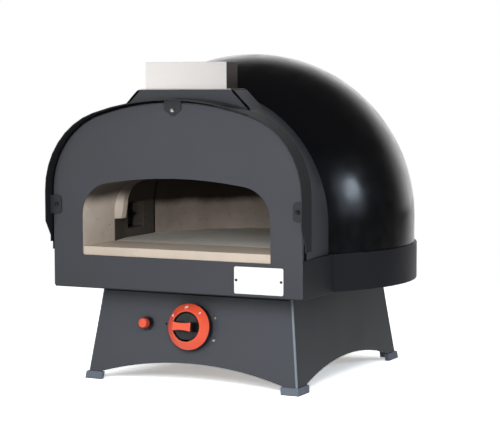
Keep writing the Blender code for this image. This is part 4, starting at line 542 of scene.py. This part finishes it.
def bridge(work, first, second, closed=True):
    # faces between two rows of vertices; a row of one vertex is a tip
    count = max(len(first), len(second))
    for i in range(count if closed else count - 1):
        corners = [first[i % len(first)], first[(i + 1) % len(first)]]
        corners += [second[(i + 1) % len(second)], second[i % len(second)]]
        corners = list(dict.fromkeys(corners))
        if len(corners) > 2:
            work.faces.new(corners)


def bridgeAll(work, rows, closed=True):
    for first, second in zip(rows, rows[1:]):
        bridge(work, first, second, closed)


def addRing(work, centre, wide, tall, count):
    # an elliptical row of vertices from its two half axes
    turns = [math.tau * i / count for i in range(count)]
    return [work.verts.new(centre + wide * math.cos(turn) + tall * math.sin(turn)) for turn in turns]


def turnProfile(name, profile, steps):
    # closed solid turned about Z from (radius, height) pairs that start and end on the axis
    work = bmesh.new()
    rows = []
    for radius, height in profile:
        if radius:
            wide, tall = Vector((radius, 0, 0)), Vector((0, radius, 0))
            rows.append(addRing(work, Vector((0, 0, height)), wide, tall, steps))
        else:
            rows.append([work.verts.new((0, 0, height))])
    bridgeAll(work, rows)
    return meshFrom(name, work)


def cutAway(mesh, cutter):
    # the mesh with another one taken out of it
    holders = [bpy.data.objects.new("holder", data) for data in (mesh, cutter)]
    for holder in holders:
        bpy.context.scene.collection.objects.link(holder)
    addModifier(holders[0], "cut", "BOOLEAN", operation="DIFFERENCE", solver="EXACT", object=holders[1])
    solid = holders[0].evaluated_get(bpy.context.evaluated_depsgraph_get())
    result = bpy.data.meshes.new_from_object(solid)
    for holder in holders:
        bpy.data.objects.remove(holder)
    return result


# The dome: the CAD dome's own size, spun fine enough to carry a clean reflection,
# its front sliced upright.
domeLook = {"sheetMm": 1.5, "around": 160, "up": 48}


def makeDomeShell():
    low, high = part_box("dome")
    radius = high.x
    axis, centre = high.y - radius, high.z - radius
    around, up = domeLook["around"], domeLook["up"]
    levels = [math.pi / 2 * (1 - i / up) for i in range(1, up + 1)]
    spots = [(radius * math.cos(level), centre + radius * math.sin(level)) for level in levels]
    spots += [(radius, centre + (low.z - centre) * share) for share in (0.5, 1.0)]
    work = bmesh.new()
    rows = [[work.verts.new((0, axis, high.z))]]
    for reach, height in spots:
        wide, tall = Vector((0, -reach, 0)), Vector((reach, 0, 0))
        rows.append(addRing(work, Vector((0, axis, height)), wide, tall, around))
    bridgeAll(work, rows)
    everything = work.verts[:] + work.edges[:] + work.faces[:]
    bmesh.ops.bisect_plane(
        work, geom=everything, plane_co=(0, low.y, 0), plane_no=(0, -1, 0), clear_outer=True,
    )
    mesh = meshFrom("domeShell", work)
    middle = max(mesh.polygons, key=lambda face: face.center.z)
    if middle.normal.z < 0:
        mesh.flip_normals()
    dome = addPiece("domeShell", mesh, sprayedDome, "oven")
    addModifier(dome, "sheet", "SOLIDIFY", thickness=mm(domeLook["sheetMm"]), offset=-1, use_even_offset=True)
    addModifier(dome, "rim", "EDGE_SPLIT", split_angle=math.radians(40))
    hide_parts("dome")


makeDomeShell()
print("dome made")

# Cross-head screws that replace the plain CAD screws, each on the same spot and axis.
screwLook = {
    "steps": 32, "recessWidthMm": 0.85, "recessSpanShare": 0.62, "recessDepthShare": 0.75,
    "recessFloorShare": 0.6, "recessTopShare": 1.2,
    "headCurve": ((0.0, 1.0), (0.3, 0.97), (0.55, 0.88), (0.75, 0.72), (0.9, 0.48), (0.98, 0.2), (1.0, 0.0)),
}


def screwMesh(name, headRadius, headHeight, shankRadius, length, spin):
    profile = [(headRadius * across, headHeight * up) for across, up in screwLook["headCurve"]]
    profile += [(shankRadius, 0.0), (shankRadius, -length + shankRadius / 2)]
    profile += [(shankRadius / 2, -length), (0.0, -length)]
    head = turnProfile(name, profile, screwLook["steps"])
    half = mm(screwLook["recessWidthMm"]) / 2
    span = headRadius * screwLook["recessSpanShare"]
    floor = headHeight * (1 - screwLook["recessDepthShare"])
    outline = []
    for quarter in range(4):
        turn = Matrix.Rotation(math.radians(90 * quarter + spin), 2)
        outline += [turn @ Vector(point) for point in ((half, half), (span, half), (span, -half))][::-1]
    outline = outline[::-1]
    # drawn from the floor, where it is narrow, to above the head, where it is wide
    work = bmesh.new()
    small, top = screwLook["recessFloorShare"], headHeight * screwLook["recessTopShare"]
    narrow = [work.verts.new((point.x * small, point.y * small, floor)) for point in outline]
    wide = [work.verts.new((point.x, point.y, top)) for point in outline]
    work.faces.new(narrow)
    work.faces.new(wide)
    bridge(work, narrow, wide)
    return cutAway(head, meshFrom("recess", work))


def seatOn(mesh, spot, outward):
    aim = Vector(outward).to_track_quat("Z", "Y").to_matrix().to_4x4()
    mesh.transform(Matrix.Translation(spot) @ aim)
    return mesh


# The screws through the visor's tabs; the top one is bright, as in the photo.
tabScrewLook = {"tabMm": 2.1, "shankMm": 2.0, "spins": {"left": 20, "top": 52, "right": 8}}
for side, spin in tabScrewLook["spins"].items():
    low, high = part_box(f"tab_screw_{side}")
    middle = (low + high) / 2
    # on the tab's sheet, with the gaps under and over it
    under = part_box("front_panel")[0].y - mm(tabScrewLook["tabMm"])
    shank = mm(tabScrewLook["shankMm"])
    mesh = screwMesh(f"tabScrew_{side}", high.x - middle.x, under - low.y, shank, high.y - under, spin)
    seatOn(mesh, (middle.x, under, middle.z), (0, -1, 0))
    finish, slot = (blackOxide, "black_powder_coat")
    if side == "top":
        finish, slot = (brushedStainless, "brushed_stainless")
    screw = addPiece(f"tabScrew_{side}", mesh, finish, "oven", 30)
    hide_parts(f"tab_screw_{side}")

# The stand's leaning front, measured from the middle of the knob.
controlLook = {"origin": (0.0, -0.201323, 0.091), "outward": (0.0, -0.98925, 0.14624)}
controlOrigin = Vector(controlLook["origin"])
outward = Vector(controlLook["outward"]).normalized()
upward = (Vector((0, 0, 1)) - outward * outward.z).normalized()


def onStand(acrossMm, upMm, gapMm=0.0):
    return controlOrigin + Vector((mm(acrossMm), 0, 0)) + upward * mm(upMm) + outward * mm(gapMm)


# The two screws of the valve's bracket, right of the knob.
valveScrewLook = {
    "headMm": (3.0, 2.2), "shankMm": (1.8, 4.1), "acrossMm": 37, "gapMm": 0.3,
    "places": (("upper", 17, 35), ("lower", -17, 12)),  # name, rise in millimetres, spin in degrees
}
for level, rise, spin in valveScrewLook["places"]:
    sizes = [mm(size) for size in valveScrewLook["headMm"] + valveScrewLook["shankMm"]]
    mesh = screwMesh(f"valveScrew_{level}", *sizes, spin)
    seatOn(mesh, onStand(valveScrewLook["acrossMm"], rise, valveScrewLook["gapMm"]), outward)
    screw = addPiece(f"valveScrew_{level}", mesh, nickelPlate, "oven", 30)
    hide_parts(f"valve_screw_{level}")

# Pop rivets of the nameplate: a low dome with the broken stem down in its middle.
rivetLook = {
    "steps": 28, "shankMm": 1.2, "gapMm": 0.3,
    "profile": (
        (0.0, 0.35), (0.3, 0.4), (0.34, 0.3), (0.4, 0.34), (0.42, 0.98), (0.6, 0.94), (0.82, 0.7),
        (0.95, 0.4), (1.0, 0.0),
    ),
}
for side in ("left", "right"):
    low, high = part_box(f"rivet_{side}")
    middle = (low + high) / 2
    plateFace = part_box("nameplate")[0].y - mm(rivetLook["gapMm"])
    radius, rise, depth = high.x - middle.x, plateFace - low.y, plateFace - high.y
    shank = mm(rivetLook["shankMm"])
    profile = [(radius * across, rise * up) for across, up in rivetLook["profile"]]
    profile += [(shank, 0.0), (shank, depth), (0.0, depth)]
    mesh = turnProfile(f"popRivet_{side}", profile, rivetLook["steps"])
    seatOn(mesh, (middle.x, plateFace, middle.z), (0, -1, 0))
    rivet = addPiece(f"popRivet_{side}", mesh, blackOxide, "oven", 30)
    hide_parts(f"rivet_{side}")
print("screws and rivets made")

# The vestibule: the same rolled sheet as the CAD one, from the panel's three-centred arch to the
# dome's slice, drawn fine, and thinned behind where it laps on to the dome.
vestibuleLook = {
    "springMm": 298.9, "shoulderMm": 120.0, "sheetMm": 1.0, "lapMm": 0.35, "ductRoomMm": 0.3,
    "cutAboveMm": 20, "around": 72, "side": 6, "rows": 10,
}


def vestibuleRow(share, lift):
    # one line round the sheet, from the right foot to the left one
    look = vestibuleLook
    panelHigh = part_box("front_panel")[1]
    domeLow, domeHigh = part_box("dome")
    dome = domeHigh.x
    axis = domeHigh.y - dome
    domeCentre = domeHigh.z - dome
    sliceRadius = math.sqrt(dome**2 - (axis - domeLow.y) ** 2)
    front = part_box("vestibule")[0].y
    spring = mm(look["springMm"])
    shoulder = mm(look["shoulderMm"])
    inset = panelHigh.x - shoulder
    rise = panelHigh.z - spring
    crown = (rise**2 + inset**2 - shoulder**2) / (2 * (rise - shoulder))
    crownCentre = panelHigh.z - crown
    turn = math.atan2(spring - crownCentre, inset)
    foot = domeLow.z
    near, far = [], []
    for i in range(look["side"]):
        climb = i / look["side"]
        near.append((panelHigh.x + lift, foot + (spring - foot) * climb))
        far.append((sliceRadius + lift, foot + (domeCentre - foot) * climb))
    for i in range(look["around"] + 1):
        angle = math.pi * i / look["around"]
        folded = min(angle, math.pi - angle)
        if folded <= turn:
            x, z = inset + (shoulder + lift) * math.cos(folded), spring + (shoulder + lift) * math.sin(folded)
        else:
            x, z = (crown + lift) * math.cos(folded), crownCentre + (crown + lift) * math.sin(folded)
        near.append((math.copysign(x, math.cos(angle)), z))
        far.append((
            (sliceRadius + lift) * math.cos(angle), domeCentre + (sliceRadius + lift) * math.sin(angle),
        ))
    for i in reversed(range(look["side"])):
        near.append((-near[i][0], near[i][1]))
        far.append((-far[i][0], far[i][1]))
    depth = front + (domeLow.y - front) * share
    return [
        Vector((a[0] + (b[0] - a[0]) * share, depth, a[1] + (b[1] - a[1]) * share)) for a, b in zip(near, far)
    ]


def makeVestibule():
    look = vestibuleLook
    sheet, lap = mm(look["sheetMm"]), mm(look["lapMm"])
    shares = [i / look["rows"] for i in range(look["rows"] + 1)]
    outside = [vestibuleRow(share, sheet + (lap - sheet) * share) for share in shares]
    inside = [vestibuleRow(share, 0.0) for share in reversed(shares)]
    work = bmesh.new()
    rows = [[work.verts.new(spot) for spot in row] for row in outside + inside]
    bridgeAll(work, rows + rows[:1], closed=False)
    for end in (0, -1):
        work.faces.new([row[end] for row in rows])
    shell = meshFrom("vestibuleShell", work)
    # the flue's duct comes up through it
    low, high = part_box("flue_duct")
    room = Vector((1, 1, 0)) * mm(look["ductRoomMm"])
    low, high = low - room, high + room
    high.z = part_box("vestibule")[1].z + mm(look["cutAboveMm"])
    work = bmesh.new()
    bmesh.ops.create_cube(work, size=1)
    for vert in work.verts:
        vert.co = [(low if side < 0 else high)[i] for i, side in enumerate(vert.co)]
    shell = cutAway(shell, meshFrom("ductHole", work))
    piece = addPiece("vestibuleShell", shell, rolledEnamel, "oven", 50)
    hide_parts("vestibule")


makeVestibule()
print("vestibule made")


def closeTube(work, rows):
    bridgeAll(work, rows)
    work.faces.new(rows[0])
    work.faces.new(rows[-1])


# Painted shade: a black bead down both front edges of the chimney hood, where the seam between its front and
# sides shows dark.
hoodLook = {
    "beadMm": 3.8, "flatShare": 0.7, "topMm": 79.5, "dropMm": 0.4, "footMm": 1.0, "sinkMm": 0.3,
    "steps": 26, "around": 10, "swellShare": 0.08, "swellTurn": 9, "tipShare": 0.35, "tipRise": 9,
}


def makeHoodShadeBeads():
    look = hoodLook
    low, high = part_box("chimney_base")
    inset = mm(look["footMm"])
    for side, name in ((-1, "hoodShadeBead_left"), (1, "hoodShadeBead_right")):
        top = Vector((side * mm(look["topMm"]), low.y, high.z - mm(look["dropMm"])))
        foot = Vector((side * (high.x - inset), low.y, low.z + inset))
        along = (foot - top).normalized()
        across = along.cross(Vector((0, 1, 0))).normalized()
        work = bmesh.new()
        rows = []
        for i in range(look["steps"] + 1):
            # thicker and thinner along its length, and tapered at both tips
            share = i / look["steps"]
            swell = 1 + look["swellShare"] * math.sin(share * look["swellTurn"] + side)
            taper = min(1.0, look["tipShare"] + look["tipRise"] * min(share, 1 - share))
            radius = mm(look["beadMm"]) / 2 * swell * taper
            centre = top.lerp(foot, share) + Vector((0, mm(look["sinkMm"]), 0))
            tall = Vector((0, -radius * look["flatShare"], 0))
            rows.append(addRing(work, centre, across * radius, tall, look["around"]))
        closeTube(work, rows)
        addPiece(name, meshFrom(name, work), shadeFiller, "oven")


makeHoodShadeBeads()


cordSides = 8


def sweepCord(name, spots, radius):
    work = bmesh.new()
    rows = []
    for i, spot in enumerate(spots):
        along = (spots[min(i + 1, len(spots) - 1)] - spots[max(i - 1, 0)]).normalized()
        across = along.cross(Vector((0, 1, 0))).normalized()
        lift = along.cross(across).normalized()
        rows.append(addRing(work, spot, across * radius, lift * radius, cordSides))
    closeTube(work, rows)
    addPiece(name, meshFrom(name, work), shadeFiller, "oven")


def touchFrom(start, direction, names):
    # the nearest point of the named pieces that a line from the start meets
    hits = []
    for name in names:
        thing = bpy.data.objects[name]
        back = thing.matrix_world.inverted()
        struck, place, _, _ = thing.ray_cast(back @ start, (back.to_3x3() @ direction).normalized())
        if struck:
            hits.append(thing.matrix_world @ place)
    return min(hits, key=lambda place: (place - start).length) if hits else None


# A black cord along the joint between the front and rear halves of the baking chamber: painted shade for the
# gap between them.
jointLook = {"cordMm": 2.6, "steps": 40, "startMm": 20, "behindMm": 1.2, "footMm": 1, "crownMm": 30}


def makeJointShadeCord():
    look = jointLook
    seam = (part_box("vault_front")[1].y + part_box("vault_rear")[0].y) / 2
    low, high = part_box("hearth_stone")[1].z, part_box("vault_rear")[1].z
    spots = []
    for i in range(look["steps"] + 1):
        level = low + mm(look["footMm"]) + (high - low - mm(look["crownMm"])) * i / look["steps"]
        start = Vector((-mm(look["startMm"]), seam + mm(look["behindMm"]), level))
        place = touchFrom(start, Vector((-1, 0, 0)), ("wall_rear", "vault_rear"))
        if place is not None:
            spots.append(Vector((place.x, seam, place.z)))
    sweepCord("jointShadeCord_left", spots, mm(look["cordMm"]) / 2)


makeJointShadeCord()

# A black cord in the slot between the visor and the sheet behind the panel, all the way round: painted shade
# in the slot.
visorShadeCordLook = {"radiusMm": 2.2, "gapMm": 0.3, "behindMm": 2.0}


def makeVisorShadeCord():
    look = visorShadeCordLook
    back = Vector((0, mm(look["behindMm"]), 0))
    spots = [spot + back for spot in vestibuleRow(0.0, mm(look["radiusMm"]) + mm(look["gapMm"]))]
    sweepCord("visorShadeCord", spots, mm(look["radiusMm"]))


makeVisorShadeCord()

# Painted shade: a black strip all round between the stand and the pan, under the pan's overhang.
shadeStripLook = {"dropMm": 6.5, "bendMm": 9, "outMm": 2.4, "tallMm": 5.2, "bendSteps": 6}


def makeStandShadeStrip():
    look = shadeStripLook
    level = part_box("stand")[1].z - mm(look["dropMm"])
    middle = sum(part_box("stand"), Vector()) / 2
    sides = []
    for turn in range(4):
        away = Vector((round(math.sin(turn * math.pi / 2)), -round(math.cos(turn * math.pi / 2)), 0))
        start = Vector((middle.x, middle.y, level)) + away
        sides.append(abs((touchFrom(start, -away, ("stand",)) - start + away).dot(away)))
    front, right, back, left = sides
    bend = mm(look["bendMm"])
    spots = []
    for turn, (x, y) in enumerate(((right, -front), (right, back), (-left, back), (-left, -front))):
        centre = Vector((middle.x + x - math.copysign(bend, x), middle.y + y - math.copysign(bend, y), level))
        for i in range(look["bendSteps"] + 1):
            angle = (turn - 1 + i / look["bendSteps"]) * math.pi / 2
            spots.append(centre + Vector((math.cos(angle), math.sin(angle), 0)) * bend)
    tall = Vector((0, 0, mm(look["tallMm"])))
    work = bmesh.new()
    rows = []
    for spot in spots:
        away = Vector((spot.x - middle.x, spot.y - middle.y, 0)).normalized()
        rows.append(addRing(work, spot, away * mm(look["outMm"]), tall, cordSides))
    bridgeAll(work, rows + rows[:1])
    addPiece("standShadeStrip", meshFrom("standShadeStrip", work), shadeFiller, "oven")


makeStandShadeStrip()
print("beads, cords and foam made")

# Marks of the dial, printed on the knob's conical ring: a spark to light it, a high flame and a
# low one, each laid on the cone itself. The cone's inner and outer edges are (radius, height).
dialLook = {
    "innerMm": (24.7, 23.3), "outerMm": (35.5, 14.1), "inkMm": 0.14, "sinkMm": 0.1, "midShare": 0.47,
    "marks": (  # name, degrees round the dial, size in millimetres, kind
        ("dialSpark", 96, 4.0, "spark"),
        ("dialHighFlame", 149, 3.4, "flame"),
        ("dialLowFlame", 47, 2.4, "flame"),
    ),
    "sparkPoints": 16, "sparkWaist": 0.42,
    "flamePoints": 20, "flameWidth": 0.62, "flameNip": 0.55, "flameLean": 0.12,
}


def markOutline(kind, size):
    look = dialLook
    count = look[kind + "Points"]
    points = []
    for i in range(count):
        turn = math.tau * i / count
        across, up = math.cos(turn), math.sin(turn)
        if kind == "spark":
            reach = size if i % 2 == 0 else size * look["sparkWaist"]
            points.append((reach * across, reach * up))
        else:  # round below, drawn to a tip that leans a little
            high = max(0.0, up)
            width = look["flameWidth"] * across * (1 - look["flameNip"] * high)
            points.append((size * (width + look["flameLean"] * high), size * up))
    return points


def makeDialMarks():
    inner, outer = Vector(dialLook["innerMm"]), Vector(dialLook["outerMm"])
    length = (outer - inner).length
    slope = (outer - inner).normalized()
    normal = Vector((-slope.y, slope.x))
    for name, clock, size, kind in dialLook["marks"]:
        work = bmesh.new()
        levels = []
        for lift in (-dialLook["sinkMm"], dialLook["inkMm"]):
            ring = []
            for across, up in markOutline(kind, size):
                flat = inner + slope * (length * dialLook["midShare"] - up) + normal * lift
                turn = math.radians(clock) - across / flat.x
                ring.append(work.verts.new((
                    mm(flat.x * math.cos(turn)), mm(flat.x * math.sin(turn)), mm(flat.y),
                )))
            levels.append(ring)
        bridge(work, *levels)
        caps = [work.faces.new(ring) for ring in levels]
        bmesh.ops.triangulate(work, faces=caps)
        mark = seatOn(meshFrom(name, work), controlOrigin, outward)
        addPiece(name, mark, printedWhite, "knob")


makeDialMarks()

# The dot printed on the stand that the dial is read against.
indexLook = {
    "acrossMm": -46.5, "upMm": 2.0, "radiusMm": 1.7, "rimShare": 0.93, "inkMm": 0.15, "sinkMm": 0.2,
    "around": 28,
}


def makeIndexDot():
    look = indexLook
    radius, ink, sink = (mm(look[key]) for key in ("radiusMm", "inkMm", "sinkMm"))
    profile = [(0.0, ink), (radius * look["rimShare"], ink), (radius, 0.0), (radius, -sink), (0.0, -sink)]
    dot = turnProfile("indexDot", profile, look["around"])
    seatOn(dot, onStand(look["acrossMm"], look["upMm"]), outward)
    addPiece("indexDot", dot, printedBlack, "oven")


makeIndexDot()
print("dial marks made")

# The studio, in metres. Each span is where a change begins and where it is complete.
studioLook = {
    "floorReach": 7.0, "floorColour": "#e8e8e8", "floorShown": 3.4, "floorHaze": 0.36,
    "whiteSpan": (0.7, 1.3), "mirrorSpan": (1.6, 0.1), "mirrorGlow": 0.95, "roomDark": 0.05, "ambient": 0.15,
    "backdropSpan": (0.5, 0.94), "backdropGlow": 1.5, "backdropAzimuth": 26.6, "backdropRise": 0.1,
    "backdropSquat": 2.1, "lampAim": (0, 0, 0.25),
    "lamps": {
        # watts, width, height, distance, azimuth, elevation, colour
        "key": (7.2, 1.5, 1.5, 2.6, -24, 40, "#ffffff"),
        "fillFront": (7.0, 0.7, 0.3, 1.1, 17, 12, "#f4f8fc"),
        "sheen": (1.75, 0.4, 0.5, 1.9, -30, 6, "#ffffff"),
        "side": (1.45, 0.66, 0.75, 1.9, 94, 13, "#dcebfa"),
        "sideCore": (3.4, 0.22, 0.27, 1.9, 97, 15, "#dcebfa"),
        "fillRight": (3.3, 1.4, 1.0, 2.2, 78, 52, "#ffffff"),
        "fillLeft": (6, 1.4, 1.0, 2.4, -100, 30, "#ffffff"),
        "fillBack": (7.5, 1.6, 1.2, 2.5, 190, 35, "#ffffff"),
    },
}


def glow(tree, kind, strength):
    return addNode(tree, kind, {"Color": (1, 1, 1, 1), "Strength": strength}).outputs[0]


def mixShaders(tree, share, under, over):
    return addNode(tree, "MixShader", {0: share, 1: under, 2: over}).outputs["Shader"]


def byRay(tree, lighting, mirrored, seen):
    # what lights the oven, what its coats mirror and what the camera sees behind it
    path = addNode(tree, "LightPath").outputs
    glossy = mixShaders(tree, path["Is Glossy Ray"], lighting, mirrored)
    direct = maths(tree, "MAXIMUM", path["Is Camera Ray"], path["Is Transmission Ray"])
    return mixShaders(tree, direct, glossy, seen)


def makeFloor():
    look = studioLook
    reach = look["floorReach"]
    corners = [(-reach, -reach, 0), (reach, -reach, 0), (reach, reach, 0), (-reach, reach, 0)]
    mesh = bpy.data.meshes.new("studioFloor")
    mesh.from_pydata(corners, [], [(0, 1, 2, 3)])
    floor = bpy.data.objects.new("studioFloor", mesh)
    bpy.context.scene.collection.objects.link(floor)
    floor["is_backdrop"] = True
    # matt paper roll, shown white as a photographer lights it
    paper = bpy.data.materials.new("palePaperFloor")
    paper.use_nodes = True
    tree = paper.node_tree
    tree.nodes.clear()
    place = addNode(tree, "TexCoord").outputs["Object"]
    matt = addNode(tree, "BsdfDiffuse", {"Color": linearColour(look["floorColour"])}).outputs["BSDF"]
    # shown to the camera brighter than it lights the oven, as an exposure for white paper shows it
    bright = addNode(tree, "BsdfDiffuse", {"Color": (look["floorShown"],) * 3 + (1.0,)}).outputs["BSDF"]
    haze = glow(tree, "Emission", look["floorHaze"])
    near = addNode(tree, "AddShader", {0: bright, 1: haze}).outputs["Shader"]
    away = addNode(tree, "VectorMath", {0: place}, operation="LENGTH").outputs["Value"]
    far = remap(tree, away, look["whiteSpan"], **smooth)
    seen = mixShaders(tree, far, near, glow(tree, "Emission", 1.0))
    # mirrored in the coats the paper is bright behind and to the left, and dark on the right
    shades = look["roomDark"], look["mirrorGlow"]
    paleness = remap(tree, axes(tree, place)["X"], look["mirrorSpan"], shades, **smooth)
    surface = byRay(tree, matt, glow(tree, "Emission", paleness), seen)
    addNode(tree, "OutputMaterial", {"Surface": surface})
    mesh.materials.append(paper)


def makeRoom():
    look = studioLook
    world = bpy.data.worlds.new("studioRoom")
    bpy.context.scene.world = world
    world.use_nodes = True
    tree = world.node_tree
    tree.nodes.clear()
    # the backdrop hangs behind the oven as the camera sees it, wider than it is high
    turn = math.radians(look["backdropAzimuth"])
    behind = Vector((-math.sin(turn), math.cos(turn), look["backdropRise"])).normalized()
    place = addNode(tree, "TexCoord").outputs["Generated"]
    scale = (1.0, 1.0, look["backdropSquat"])
    squat = addNode(tree, "VectorMath", {0: place, 1: scale}, operation="MULTIPLY").outputs["Vector"]
    heading = addNode(tree, "VectorMath", {0: squat}, operation="NORMALIZE").outputs["Vector"]
    facing = addNode(tree, "VectorMath", {0: heading, 1: behind}, operation="DOT_PRODUCT").outputs["Value"]
    backdrop = remap(tree, facing, look["backdropSpan"], (look["roomDark"], look["backdropGlow"]), **smooth)
    ambient = glow(tree, "Background", look["ambient"])
    mirrored = glow(tree, "Background", backdrop)
    white = glow(tree, "Background", 1.0)
    addNode(tree, "OutputWorld", {"Surface": byRay(tree, ambient, mirrored, white)})


def directionTo(azimuth, elevation):
    # azimuth 0 is the front and 90 the right
    turn, tilt = math.radians(azimuth), math.radians(elevation)
    return Vector((math.sin(turn) * math.cos(tilt), -math.cos(turn) * math.cos(tilt), math.sin(tilt)))


def addSoftbox(name, watts, width, height, distance, azimuth, elevation, colour):
    light = bpy.data.lights.new(name, "AREA")
    light.shape = "RECTANGLE"
    light.size = width
    light.size_y = height
    light.energy = watts
    light.color = linearColour(colour)[:3]
    lamp = bpy.data.objects.new(name, light)
    lamp.visible_glossy = not name.startswith("fill")  # the fills are polarised: no reflection of them
    bpy.context.scene.collection.objects.link(lamp)
    away = directionTo(azimuth, elevation)
    lamp.location = Vector(studioLook["lampAim"]) + away * distance
    lamp.rotation_euler = away.to_track_quat("Z", "Y").to_euler()


# Fitted to points marked on the photo.
cameraLook = {
    "azimuth": 26.59, "elevation": 4.71, "roll": -0.12, "target": (-0.00778, 0.010325, 0.23316),
    "distance": 2.72614, "lens": 119.62, "sensorWidth": 36.0,
}


def makeCamera():
    look = cameraLook
    turn, roll = math.radians(look["azimuth"]), math.radians(look["roll"])
    back = directionTo(look["azimuth"], look["elevation"])
    right = Vector((math.cos(turn), math.sin(turn), 0))
    up = back.cross(right)
    across = right * math.cos(roll) + up * math.sin(roll)
    rise = up * math.cos(roll) - right * math.sin(roll)
    lens = bpy.data.cameras.new("photoCamera")
    lens.lens = look["lens"]
    lens.sensor_width = look["sensorWidth"]
    camera = bpy.data.objects.new("photoCamera", lens)
    bpy.context.scene.collection.objects.link(camera)
    facing = Matrix((across, rise, back)).transposed().to_4x4()
    camera.matrix_world = Matrix.Translation(Vector(look["target"]) + back * look["distance"]) @ facing
    bpy.context.scene.camera = camera


makeFloor()
makeRoom()
for lamp, placing in studioLook["lamps"].items():
    addSoftbox(lamp + "Softbox", *placing)
makeCamera()
bpy.context.scene.view_settings.view_transform = "Standard"
print("studio made")

bpy.context.view_layer.update()
sizes = {"cad": [list(corner) for corner in cadBox], "visual": [list(corner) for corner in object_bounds()]}
